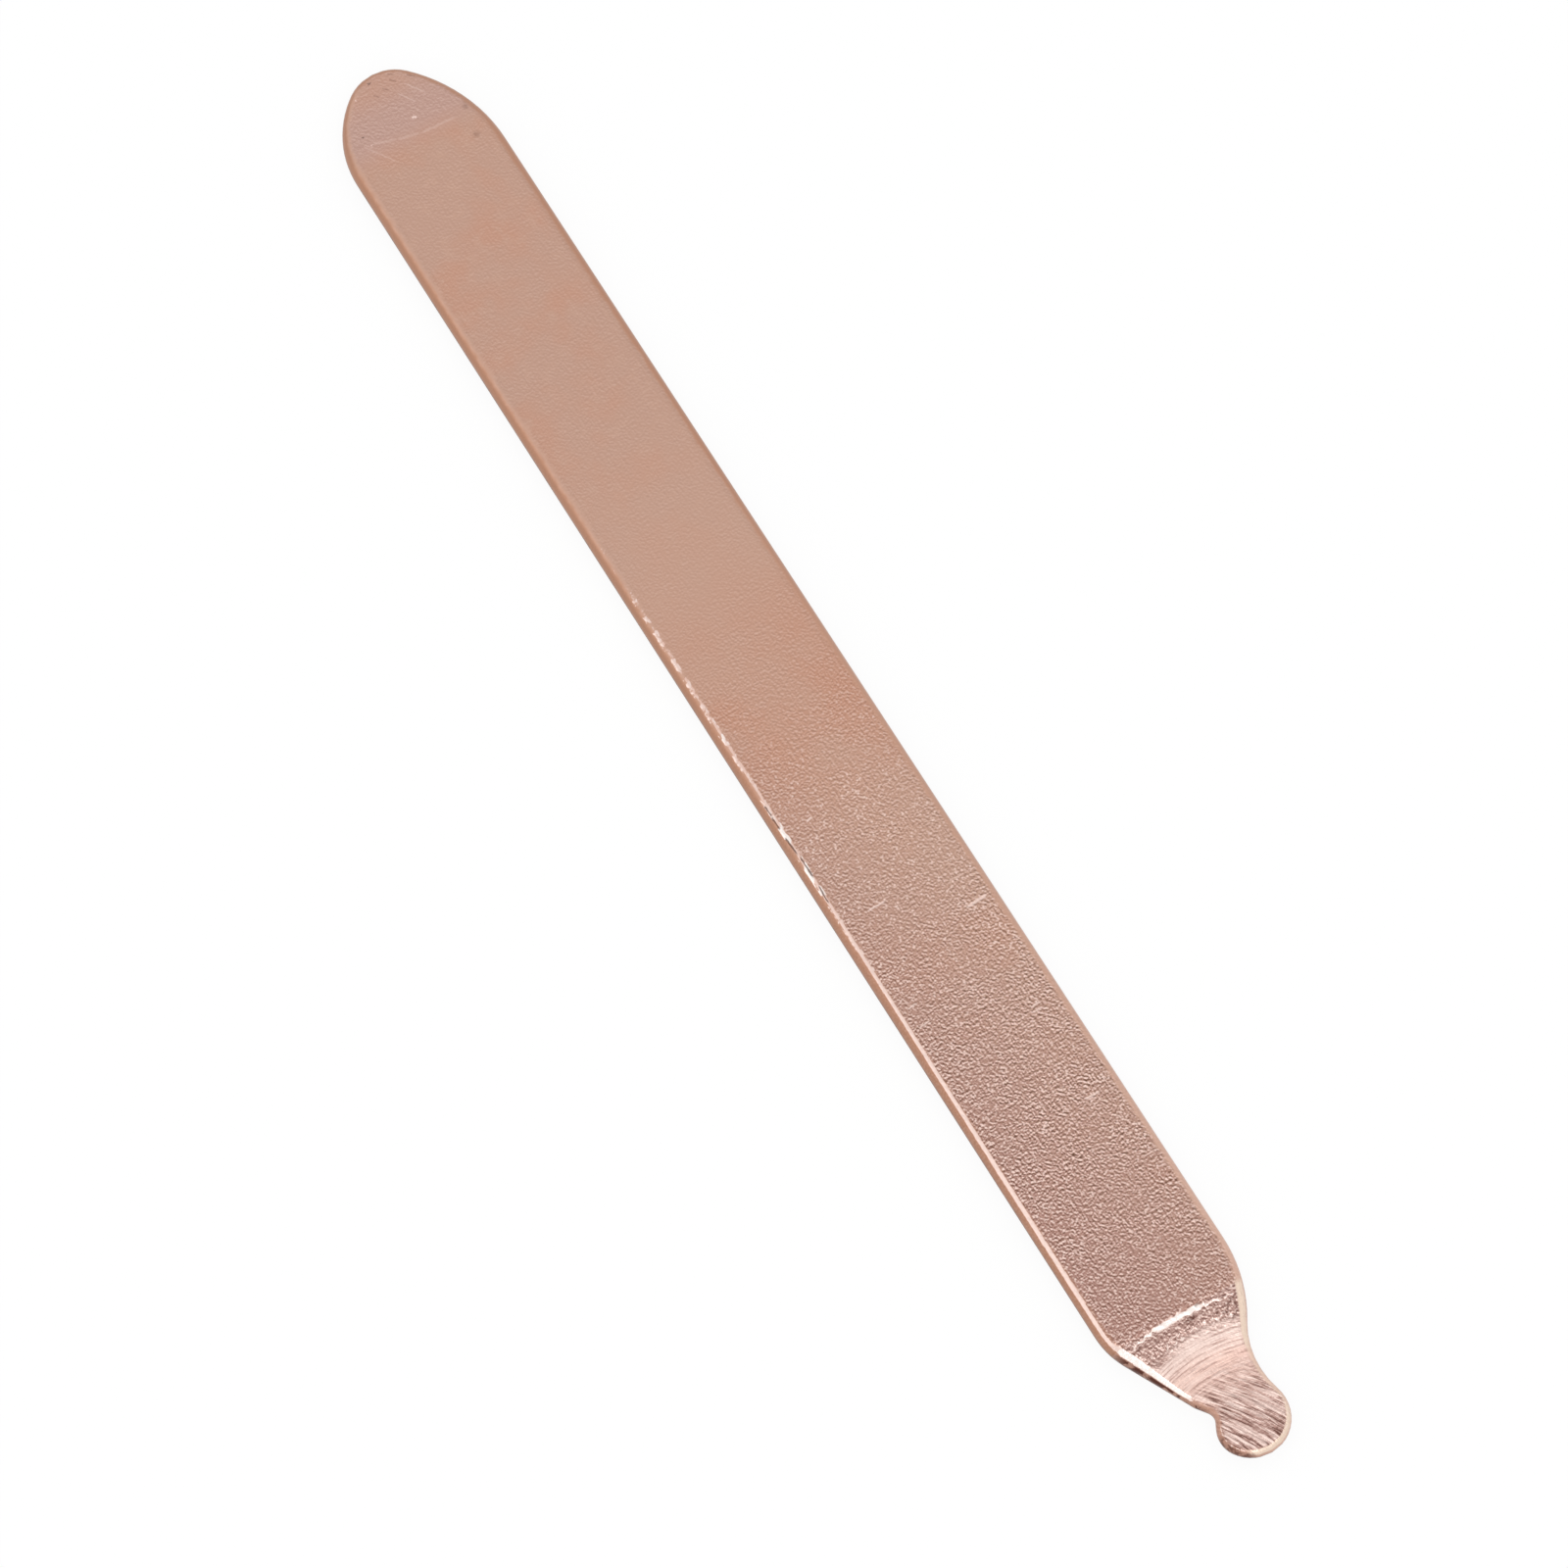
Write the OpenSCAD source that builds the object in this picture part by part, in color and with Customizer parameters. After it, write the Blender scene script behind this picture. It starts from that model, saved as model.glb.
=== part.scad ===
// Flat heat pipe: a sealed copper tube with a closed nose, pressed flat along its whole
// length. At the other end the necked filling tube is squeezed into a round stub.
// +X runs from the nose to the stub, +Y is the left side and +Z is up.
// The origin is under the middle of the pipe, on the plane that it rests on.

/* [Tube] */
// Outside diameter of the round tube before it is pressed flat
tube_d = 8; // [6:0.5:12]
// Thickness of the pipe after pressing
pressed_t = 2; // [1.8:0.1:3]
// Length from the tip of the nose to the end of the stub
pipe_l = 124.4; // [60:0.1:400]

/* [Nose] */
// Radius of the tip of the nose, seen from above
nose_r = 3.5; // [2:0.1:3.8]
// How far the tip lies to the right of the centre line
nose_shift = 0.3; // [0:0.05:0.3]
// How much longer than a half circle the nose is on its left side
nose_left_extra = 4; // [0.5:0.1:8]
// How much longer than a half circle the nose is on its right side
nose_right_extra = 1.7; // [0.5:0.1:8]
// Thickness at the tip of the nose
nose_t = 1.6; // [1.2:0.1:1.8]
// Distance from the tip to the crease where the nose begins to thin
nose_crease = 6.5; // [5:0.1:12]

/* [Neck] */
// Radius of the shoulder that turns the left side in to the neck
left_shoulder_r = 10.6; // [4:0.1:16]
// Angle of the left side of the neck to the centre line
left_neck_angle = 33; // [20:1:45]
// Radius of the waist between the left side of the neck and the stub
left_waist_r = 6.1; // [2:0.1:8]
// How far that waist is drawn in from the side of the stub
left_waist_depth = 0.35; // [0.2:0.01:0.6]
// Radius of the shoulder that turns the right side in to the neck
right_shoulder_r = 6.2; // [4:0.1:16]
// Angle of the right side of the neck to the centre line
right_neck_angle = 27; // [20:1:38]

/* [Nick] */
// Radius at the root of the nick that the crimping jaw leaves on the right side
nick_r = 0.75; // [0.3:0.05:1]
// How far behind the centre of the stub the root of the nick lies
nick_back = 1.25; // [1:0.05:1.6]
// How far the root is drawn in from the side of the stub
nick_depth = 0.7; // [0.5:0.02:1]
// Angle of the nick's wall on the neck's side to the centre line
nick_neck_angle = 37; // [30:1:50]
// Height of that wall, from the root to its lip
nick_wall = 0.75; // [0.5:0.05:1]
// Angle of the nick's wall on the stub's side to the centre line
nick_stub_angle = 27.5; // [20:0.5:40]
// Radius of the corner where that wall meets the round stub, as a share of the stub's radius
nick_corner = 0.69; // [0.3:0.01:0.75]

/* [Stub] */
// Radius of the round stub
stub_r = 2.85; // [2:0.05:3.5]
// How far the stub lies to the left of the centre line
stub_shift = 0.4; // [0:0.02:0.6]
// Thickness of the stub
stub_t = 1.15; // [0.8:0.05:1.6]

/* [Press marks] */
// Distance from the end of the stub to the line where the press plates end
plate_edge = 11.3; // [10.4:0.1:14]
// How much thinner the pipe is past that line
plate_step = 0.08; // [0.02:0.02:0.14]
// Distance from the end of the stub to the line where the crimping jaw begins
jaw_edge = 10; // [8.5:0.1:10.8]
// Distance from the end of the stub to where the neck has come down to the stub's thickness
jaw_end = 6.6; // [4.5:0.1:8]

/* [Hidden] */

// The tube's perimeter stays the same when it is pressed: two flats and two half-round edges
pressed_w = pressed_t + PI * (tube_d - pressed_t) / 2;
half_w = pressed_w / 2;
nose_x = -pipe_l / 2;
stub_x = pipe_l / 2;
// Length along the pipe of the small step at the edge of the press plates
step_run = 0.2;
// Turn between two points of a large arc and of a small one, and between two lines of the edge
coarse_turn = 4;
fine_turn = 9;
rim_turn = 15;
// Points along the pipe closer together than this are taken as one
min_gap = 0.04;

LEFT = 1;
RIGHT = -1;

// The side of the metal that an arc's centre is on
IN_METAL = 0;
IN_AIR = 180;

// Each side of the outline is a list of [x, distance from the centre line, facing], where
// facing is the angle of the way out of the metal: 180 at the nose, 90 at the side, 0 at the stub

// Points of an arc about c, from angle a0 to angle a1, no more than turn apart
function arc(c, r, a0, a1, turn, centre = IN_METAL) =
    let (n = max(1, ceil(abs(a1 - a0) / turn)))
    [
        for (i = [0:n])
            let (a = a0 + (a1 - a0) * i / n)
            [c.x + r * cos(a), c.y + r * sin(a), a + centre]
    ];

// One side of the nose: the arc of the tip, and the larger arc into the straight side
function nose_side(side) =
    let (
        side_l = half_w + (side == LEFT ? nose_left_extra : nose_right_extra),
        tip = [nose_x + nose_r, -side * nose_shift],
        run = side_l - nose_r,
        rise = half_w - tip.y,
        flank_r = (run * run + rise * rise - nose_r * nose_r) / (2 * (rise - nose_r)),
        flank = [nose_x + side_l, half_w - flank_r],
        meet = atan2(tip.y - flank.y, tip.x - flank.x)
    )
    concat(arc(tip, nose_r, 180, meet, fine_turn), arc(flank, flank_r, meet, 90, coarse_turn));

// Shoulder of one side of the neck: an arc from the straight side to a wall at the given
// angle, placed so that the wall passes through the point foot
function shoulder(foot, r, angle) =
    let (
        wall_top = half_w - r * (1 - cos(angle)),
        wall_x = foot.x - (wall_top - foot.y) / tan(angle)
    )
    arc([wall_x - r * sin(angle), half_w - r], r, 90, 90 - angle, coarse_turn);

// Waist of one side: an arc that ends on the stub's circle, from a wall at the given angle.
// Its root is drawn in by depth from the side of the stub
function waist_arc(stub, r, depth, angle) =
    let (
        reach = stub_r + r,
        root = [stub.x - sqrt(reach * reach - pow(reach - depth, 2)), stub.y + reach - depth],
        meet = atan2(stub.y - root.y, stub.x - root.x)
    )
    arc(root, r, -90 - angle, meet, fine_turn, IN_AIR);

// The steepest wall that a shoulder and a waist leave room for, when both fit in the drop
function wall_angle(drop, radii, angle) = min(angle, acos(max(0, 1 - drop / radii)));

// Left side of the neck and stub: shoulder, wall, wide waist and the stub's round end
function left_tail() =
    let (
        stub = [stub_x - stub_r, stub_shift],
        drop = half_w - (stub.y + stub_r - left_waist_depth),
        angle = wall_angle(drop, left_shoulder_r + left_waist_r, left_neck_angle),
        waist = waist_arc(stub, left_waist_r, left_waist_depth, angle)
    )
    concat(
        shoulder(waist[0], left_shoulder_r, angle), waist,
        stub_end(stub, waist[len(waist) - 1])
    );

// Right side of the neck and stub: shoulder, wall, the nick's lip and root, and the stub
function right_tail() =
    let (
        stub = [stub_x - stub_r, -stub_shift],
        root_y = stub.y + stub_r - nick_depth,
        root = arc(
            [stub.x - nick_back, root_y + nick_r],
            nick_r, -90 - nick_neck_angle, -90 + nick_stub_angle, fine_turn, IN_AIR
        ),
        lip_y = root_y + nick_wall,
        lip_x = root[0].x - (lip_y - root[0].y) / tan(nick_neck_angle),
        angle = wall_angle(half_w - lip_y, right_shoulder_r, right_neck_angle),
        lip = [lip_x, lip_y, 90 - (angle + nick_neck_angle) / 2],
        corner = stub_corner(stub, root[len(root) - 1], nick_corner * stub_r, nick_stub_angle)
    )
    concat(
        shoulder(lip, right_shoulder_r, angle), [lip], root,
        corner, stub_end(stub, corner[len(corner) - 1])
    );

// Corner between the nick and the stub: an arc that turns from the wall, which rises from p
// at the given angle, until it touches the stub's circle from inside
function stub_corner(stub, p, r, angle) =
    let (
        along = [cos(angle), sin(angle)],
        from = [p.x - stub.x, p.y - stub.y] + r * [along.y, -along.x],
        back = from * along,
        room = stub_r - r,
        centre = stub + from + along * (sqrt(back * back + room * room - from * from) - back)
    )
    arc(centre, r, 90 + angle, atan2(centre.y - stub.y, centre.x - stub.x), fine_turn);

// The stub's own circle, from the point start round to its end
function stub_end(stub, start) =
    arc(stub, stub_r, atan2(start.y - stub.y, start.x - stub.x), 0, fine_turn);

left_side = concat(nose_side(LEFT), left_tail());
right_side = concat(nose_side(RIGHT), right_tail());

// Thickness along the pipe: thinner nose, full body, small step, band, slope and stub
thickness = [
    [nose_x, nose_t],
    [nose_x + nose_crease, pressed_t],
    [stub_x - plate_edge, pressed_t],
    [stub_x - plate_edge + step_run, pressed_t - plate_step],
    [stub_x - jaw_edge, pressed_t - plate_step],
    [stub_x - jaw_end, stub_t],
    [stub_x, stub_t]
];

// Numbers in rising order, and the same list without those that crowd the one before
function sorted(v) =
    len(v) < 2 ? v : let (
        pivot = v[floor(len(v) / 2)],
        below = [for (a = v) if (a < pivot) a],
        same = [for (a = v) if (a == pivot) a],
        above = [for (a = v) if (a > pivot) a]
    )
    concat(sorted(below), same, sorted(above));
function spaced(v) = [for (i = [0:len(v) - 1]) if (i == 0 || v[i] - v[i - 1] > min_gap) v[i]];

// Places along the pipe where its outline or its thickness turns
stations = spaced(sorted([for (p = concat(left_side, right_side, thickness)) p.x]));
last_station = len(stations) - 1;

// One side at station x, as [x, y, facing], on the left or the right of the centre line
function at_station(x, points, side) = [
    x,
    side * lookup(x, [for (p = points) [p.x, p.y]]),
    side * lookup(x, [for (p = points) [p.x, p.z]])
];

// The outline from above, once round: along the left side and back along the right
outline = concat(
    [[nose_x, -nose_shift, 180]],
    [for (i = [1:last_station - 1]) at_station(stations[i], left_side, LEFT)],
    [[stub_x, stub_shift, 0]],
    [for (i = [last_station - 1:-1:1]) at_station(stations[i], right_side, RIGHT)]
);
outline_n = len(outline);

// One line round the edge: the edge is a half circle as high as the pipe is thick there,
// and turn is the angle round it, from -90 underneath to 90 on top
function rim_line(turn) = [
    for (i = [0:outline_n - 1])
        let (
            p = outline[i],
            half_t = lookup(p.x, thickness) / 2,
            inset = half_t * (1 - cos(turn))
        )
        [
            p.x - inset * cos(p.z),
            p.y - inset * sin(p.z),
            pressed_t / 2 + half_t * sin(turn)
        ]
];

// Skin between two neighbouring lines of the edge, as two triangles for each step round it
function rim_faces(line) = [
    for (i = [0:outline_n - 1])
        let (
            a = line * outline_n + i,
            b = line * outline_n + (i + 1) % outline_n
        )
        each [[a, b, b + outline_n], [a, b + outline_n, a + outline_n]]
];

// A flat side: strips across the pipe from left to right, between neighbouring stations
function flat_faces(first) = concat(
    [[first, first + 1, first + outline_n - 1]],
    [
        for (i = [1:last_station - 2])
            let (
                left = first + i,
                right = first + outline_n - i
            )
            each [[left, left + 1, right - 1], [left, right - 1, right]]
    ],
    [[first + last_station - 1, first + last_station, first + last_station + 1]]
);

function flipped(faces) = [for (f = faces) [f[2], f[1], f[0]]];

// The sealed pipe: a loft of the outline round its half-round edge, closed by two flats
module heat_pipe() {
    rim_n = 180 / rim_turn;
    points = [for (line = [0:rim_n]) each rim_line(-90 + line * rim_turn)];
    skin = [for (line = [0:rim_n - 1]) each rim_faces(line)];
    underside = flipped(flat_faces(0));
    top = flat_faces(rim_n * outline_n);
    color([0.76, 0.60, 0.52])
        polyhedron(points, concat(skin, underside, top));
}

heat_pipe();
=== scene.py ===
"""A flat copper heat pipe, dressed for its studio view.

Lengths in the classes are in millimetres in the part's own frame: +X runs from the closed nose to the
sealed stub, +Y to the left side, +Z up, and the origin lies on the surface that the pipe rests on, under
its middle.
"""

import logging
import math
from dataclasses import dataclass
from enum import Enum

import bpy
import numpy as np
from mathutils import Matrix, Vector, noise


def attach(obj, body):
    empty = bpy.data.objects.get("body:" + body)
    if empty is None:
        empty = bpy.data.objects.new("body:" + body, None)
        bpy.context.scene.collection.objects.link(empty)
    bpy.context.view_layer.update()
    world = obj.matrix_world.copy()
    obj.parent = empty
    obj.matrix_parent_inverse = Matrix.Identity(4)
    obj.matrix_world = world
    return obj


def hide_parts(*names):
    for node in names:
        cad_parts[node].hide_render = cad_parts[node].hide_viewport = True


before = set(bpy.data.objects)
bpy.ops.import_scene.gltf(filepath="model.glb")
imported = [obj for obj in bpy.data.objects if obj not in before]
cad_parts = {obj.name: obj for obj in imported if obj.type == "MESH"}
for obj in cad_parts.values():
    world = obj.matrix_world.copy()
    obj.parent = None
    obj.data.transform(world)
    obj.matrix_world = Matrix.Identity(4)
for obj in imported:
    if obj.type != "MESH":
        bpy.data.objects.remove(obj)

MM = 0.001
NUMBER, VECTOR, COLOUR = "NodeSocketFloat", "NodeSocketVector", "NodeSocketColor"
WHITE = (1.0, 1.0, 1.0)

Colour = tuple[float, float, float]
Spot = tuple[float, float]
Socket = bpy.types.NodeSocket

# Where a change starts and ends, and then the answers there where they aren't 0 and 1.
Rise = tuple[float, ...]
# A soft random pattern: its lumps per millimetre, its finer layers and how strong those are.
Cloud = tuple[float, ...]

log = logging.getLogger("heat_pipe")


class Axis(Enum):
    """The directions that the working mesh is cut across."""

    ALONG = (1.0, 0.0, 0.0)
    ACROSS = (0.0, 1.0, 0.0)


class Finish(Enum):
    """The two finishes of the tube, in the order of its material slots."""

    SATIN = 0
    CRIMPED = 1


@dataclass(frozen=True)
class TailTools:
    """The path of the tools that shaped the tail, shared by its mesh and its finish."""

    jaw_bow: float = 0.045
    file_sweep: float = 0.0415
    file_middle: float = 60.5
    file_turn: float = 29.0


TOOLS = TailTools()


# ------------------------------------------------------------------------------------------ node helpers


class Wiring:
    """Adds nodes to one node tree and joins them."""

    def __init__(self, tree: bpy.types.NodeTree) -> None:
        """Keeps the tree that the nodes go into.

        Args:
            tree: the node tree of a material, a world or a group.
        """
        self.tree = tree

    def put(self, target: Socket, value: object) -> None:
        """Joins a socket to another node's output, or sets its constant.

        Args:
            target: the input that receives the value.
            value: an output socket, or a plain number, colour or vector.
        """
        if isinstance(value, bpy.types.NodeSocket):
            self.tree.links.new(value, target)
        elif target.type == "RGBA":
            target.default_value = (*value, 1.0)
        else:
            target.default_value = value

    def node(self, kind: str, **settings: object) -> bpy.types.Node:
        """Adds a node.

        Args:
            kind: the node's type, without its ShaderNode prefix.
            **settings: properties of the node to set.

        Returns:
            The new node.
        """
        made = self.tree.nodes.new("ShaderNode" + kind)
        for name, value in settings.items():
            setattr(made, name, value)
        return made

    def maths(self, operation: str, first: object, second: object = 0.5, clamp: bool = False) -> Socket:
        """Works out one sum.

        Args:
            operation: the name of the Math node's operation.
            first: its first number or socket.
            second: its second number or socket.
            clamp: whether the answer is kept between 0 and 1.

        Returns:
            The socket with the answer.
        """
        made = self.node("Math", operation=operation, use_clamp=clamp)
        self.put(made.inputs[0], first)
        self.put(made.inputs[1], second)
        return made.outputs[0]

    def plus(self, first: object, second: object) -> Socket:
        """Adds two numbers."""
        return self.maths("ADD", first, second)

    def minus(self, first: object, second: object) -> Socket:
        """Takes the second number away from the first."""
        return self.maths("SUBTRACT", first, second)

    def most(self, first: object, second: object, clamp: bool = False) -> Socket:
        """Gives the larger of two numbers."""
        return self.maths("MAXIMUM", first, second, clamp)

    def apart(self, first: object, second: object) -> Socket:
        """Gives how far two numbers lie apart."""
        return self.maths("ABSOLUTE", self.minus(first, second))

    def times(self, first: object, *others: object) -> Socket:
        """Multiplies numbers, from the first to the last.

        Args:
            first: the first number or socket.
            *others: the numbers or sockets that it is multiplied by.

        Returns:
            The socket with the product.
        """
        product = first
        for other in others:
            product = self.maths("MULTIPLY", product, other)
        return product

    def mapped(self, kind: str, value: object, *rise: float) -> Socket:
        """Changes from one answer to another as a value changes.

        Args:
            kind: how it changes, as the Map Range node names it.
            value: what is read.
            *rise: where the change starts and ends, and the answers before and after it.

        Returns:
            The socket with the answer.
        """
        made = self.node("MapRange", interpolation_type=kind)
        for slot, number in enumerate((value, *rise)):
            self.put(made.inputs[slot], number)
        return made.outputs[0]

    def step(self, value: object, low: float, high: float, least: float = 0.0, most: float = 1.0) -> Socket:
        """Rises smoothly from one answer to another."""
        return self.mapped("SMOOTHSTEP", value, low, high, least, most)

    def ramp(self, value: object, low: float, high: float, least: float = 0.0, most: float = 1.0) -> Socket:
        """Rises evenly from one answer to another."""
        return self.mapped("LINEAR", value, low, high, least, most)

    def between(self, value: object, rise: Rise, fall: Rise) -> Socket:
        """Rises smoothly at one place and falls smoothly at another."""
        return self.times(self.step(value, *rise), self.step(value, *fall))

    def hump(self, value: object, centre: float, reach: float) -> Socket:
        """Gives 1 at a centre and falls smoothly to 0 at its reach."""
        return self.step(self.apart(value, centre), 0.0, reach, 1.0, 0.0)

    def tint(self, amount: object, colour: object, other: object) -> Socket:
        """Mixes two colours.

        Args:
            amount: how much of the second colour shows, 0 to 1.
            colour: the first colour.
            other: the second colour.

        Returns:
            The socket with the mixed colour.
        """
        made = self.node("Mix", data_type="RGBA", clamp_factor=True)
        for slot, value in ((0, amount), (6, colour), (7, other)):
            self.put(made.inputs[slot], value)
        return made.outputs[2]

    def blend(self, amount: object, off: object, on: object) -> Socket:
        """Mixes two numbers.

        Args:
            amount: how much of the second number counts, 0 to 1.
            off: the first number.
            on: the second number.

        Returns:
            The socket with the mixed number.
        """
        made = self.node("Mix", data_type="FLOAT")
        for slot, value in ((0, amount), (2, off), (3, on)):
            self.put(made.inputs[slot], value)
        return made.outputs[0]

    def cloud(self, place: Socket, scale: object, detail: float = 2.0, rough: float = 0.5) -> Socket:
        """Reads a soft random pattern.

        Args:
            place: where it is read, in millimetres.
            scale: how many lumps it has per millimetre.
            detail: how many finer layers it has.
            rough: how strong the finer layers are.

        Returns:
            The socket with the pattern, about 0.5 in the middle.
        """
        made = self.node("TexNoise")
        for label, value in (("Vector", place), ("Scale", scale), ("Detail", detail), ("Roughness", rough)):
            self.put(made.inputs[label], value)
        return made.outputs["Fac"]

    def wobble(self, place: Socket, reach: float, *cloud: float) -> Socket:
        """Reads a soft random pattern that swings about 0, by its reach from end to end."""
        return self.times(self.minus(self.cloud(place, *cloud), 0.5), reach)

    def vector(self, operation: str, first: object, second: object) -> Socket:
        """Works out one sum of two vectors.

        Args:
            operation: the name of the Vector Math node's operation.
            first: its first vector or socket.
            second: its second vector or socket.

        Returns:
            The socket with the answer.
        """
        made = self.node("VectorMath", operation=operation)
        self.put(made.inputs[0], first)
        self.put(made.inputs[1], second)
        return made.outputs[0]

    def parts(self, place: Socket) -> tuple[Socket, ...]:
        """Splits a place into its distances along X, Y and Z.

        Args:
            place: the place, in millimetres.

        Returns:
            The three sockets.
        """
        made = self.node("SeparateXYZ")
        self.put(made.inputs[0], place)
        return tuple(made.outputs)

    def joined(self, along: Socket, across: Socket) -> Socket:
        """Makes a place from its distances along X and Y.

        Args:
            along: the distance along X.
            across: the distance along Y.

        Returns:
            The socket with the place.
        """
        made = self.node("CombineXYZ")
        self.put(made.inputs[0], along)
        self.put(made.inputs[1], across)
        return made.outputs[0]

    def turned(self, place: Socket, angle: object) -> Socket:
        """Turns a place about the upright axis.

        Args:
            place: the place, in millimetres.
            angle: the angle, in radians.

        Returns:
            The socket with the new place.
        """
        made = self.node("VectorRotate", rotation_type="Z_AXIS")
        self.put(made.inputs["Vector"], place)
        self.put(made.inputs["Angle"], angle)
        return made.outputs[0]

    def stretched(self, place: Socket, turn: float, stretch: Spot) -> Socket:
        """Turns and stretches the place that a pattern of lines is read at.

        Args:
            place: where the pattern would be read, in millimetres.
            turn: the direction that its lines run in, in degrees from +X.
            stretch: its repeats per millimetre along and across the lines.

        Returns:
            The socket with the new place.
        """
        return self.vector("MULTIPLY", self.turned(place, math.radians(-turn)), (*stretch, 1.0))


class EffectGroup:
    """A shader node group with named inputs and outputs, which materials place with their own values."""

    def __init__(
        self, name: str, inputs: dict[str, tuple[str, object]], outputs: tuple[str, ...], kind: str
    ) -> None:
        """Makes the empty group and its sockets.

        Args:
            name: what the group is called.
            inputs: each input's socket type and its default.
            outputs: the names of the outputs.
            kind: the outputs' socket type.
        """
        self.tree = bpy.data.node_groups.new(name, "ShaderNodeTree")
        for label, (socket_type, default) in inputs.items():
            made = self.tree.interface.new_socket(label, in_out="INPUT", socket_type=socket_type)
            if default is not None:
                made.default_value = default
        for label in outputs:
            self.tree.interface.new_socket(label, in_out="OUTPUT", socket_type=kind)
        self.given = self.tree.nodes.new("NodeGroupInput").outputs
        self.result = self.tree.nodes.new("NodeGroupOutput").inputs
        self.wiring = Wiring(self.tree)

    def give(self, **results: Socket) -> None:
        """Joins the group's outputs.

        Args:
            **results: the socket that each output shows.
        """
        for label, value in results.items():
            self.wiring.put(self.result[label], value)

    def placed(self, wiring: Wiring, **values: object) -> bpy.types.NodeOutputs:
        """Places the group in a material.

        Args:
            wiring: the material's wiring.
            **values: a socket or a number for each input that isn't left at its default.

        Returns:
            The outputs of the placed group.
        """
        made = wiring.node("Group", node_tree=self.tree)
        for label, value in values.items():
            wiring.put(made.inputs[label], value)
        return made.outputs


# ------------------------------------------------------------------------------------------ shared effects


@dataclass(frozen=True)
class SinteredGrain:
    """The sintered grain that shows through the pressed wall, with a painted highlight and painted shade on
    its lumps and painted glints among them.
    """

    layers: Cloud = (1.0, 0.6)
    lit_from: tuple[float, float, float] = (0.085, -0.05, 0.0)
    lit: Rise = (0.02, 0.20)
    shaded: Rise = (-0.03, -0.19)
    sparks_per_mm: float = 2.5
    spark_rim: Rise = (0.10, 0.30, 1.0, 0.0)
    spark_start: Rise = (0.26, 0.6)
    spark_strength: float = 0.9

    def build(self) -> EffectGroup:
        """Builds the grain.

        Returns:
            The group, with a height, a mask of painted highlight on the lit side of the lumps and of painted
            glints, and a mask of painted shade on their far side.
        """
        inputs = {"Place": (VECTOR, None), "Amount": (NUMBER, 1.0), "Fineness": (NUMBER, 5.0)}
        group = EffectGroup("sintered_grain", inputs, ("Height", "Glint", "Pit"), NUMBER)
        w = group.wiring
        place, amount, fineness = (group.given[name] for name in inputs)
        fine = w.cloud(place, fineness, *self.layers)
        # Two clouds, one shifted toward the light, paint a highlight on the side of each lump that faces it
        # and shade on the other side.
        slope = w.minus(fine, w.cloud(w.vector("ADD", place, self.lit_from), fineness, *self.layers))
        # The sparse dots are painted glints, as facets that catch the lamps.
        cells = w.node("TexVoronoi", feature="F1")
        w.put(cells.inputs["Vector"], place)
        w.put(cells.inputs["Scale"], self.sparks_per_mm)
        dots = w.step(cells.outputs["Distance"], *self.spark_rim)
        sparks = w.times(dots, w.ramp(amount, *self.spark_start))
        glint = w.times(w.ramp(slope, *self.lit), amount)
        group.give(
            Height=w.times(fine, amount),
            Glint=w.most(glint, w.times(sparks, self.spark_strength), clamp=True),
            Pit=w.times(w.ramp(slope, *self.shaded), amount),
        )
        return group


@dataclass(frozen=True)
class ToolLines:
    """Fine lines such as a file or a jaw leaves, with a painted highlight on their ridges and painted shade
    in their grooves.
    """

    lines: Cloud = (1.0, 3.0, 0.6)
    bright: Rise = (0.51, 0.63)
    dark: Rise = (0.49, 0.37)

    def build(self) -> EffectGroup:
        """Builds the lines.

        Returns:
            The group, with a height, a mask of painted highlight on the ridges and a mask of painted shade in
            the grooves.
        """
        inputs = {"Place": (VECTOR, None), "Amount": (NUMBER, 1.0)}
        group = EffectGroup("tool_lines", inputs, ("Height", "Bright", "Dark"), NUMBER)
        w = group.wiring
        place, amount = (group.given[name] for name in inputs)
        lines = w.cloud(place, *self.lines)
        group.give(
            Height=w.times(lines, amount),
            Bright=w.times(w.step(lines, *self.bright), amount),
            Dark=w.times(w.step(lines, *self.dark), amount),
        )
        return group


@dataclass(frozen=True)
class HandlingTarnish:
    """The slow change of colour that handling leaves on bare copper."""

    patch_cloud: Cloud = (0.16, 3.0, 0.55)
    patches: Rise = (0.44, 0.64)
    fleck_cloud: Cloud = (0.9, 2.0, 0.6)
    flecks: Rise = (0.5, 0.72)
    plain: tuple[float, ...] = (0.5, 0.3, 0.2, 1.0)

    def build(self) -> EffectGroup:
        """Builds the tarnish.

        Returns:
            The group, with the mixed colour.
        """
        colours = {name: (COLOUR, self.plain) for name in ("Fresh", "Warm", "Pale")}
        inputs = {"Place": (VECTOR, None), **colours, "Amount": (NUMBER, 1.0)}
        group = EffectGroup("handling_tarnish", inputs, ("Colour",), COLOUR)
        w = group.wiring
        place, fresh, warm, pale, amount = (group.given[name] for name in inputs)
        patches = w.step(w.cloud(place, *self.patch_cloud), *self.patches)
        flecks = w.step(w.cloud(place, *self.fleck_cloud), *self.flecks)
        warmed = w.tint(w.times(patches, amount), fresh, warm)
        group.give(Colour=w.tint(w.times(flecks, amount), warmed, pale))
        return group


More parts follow.
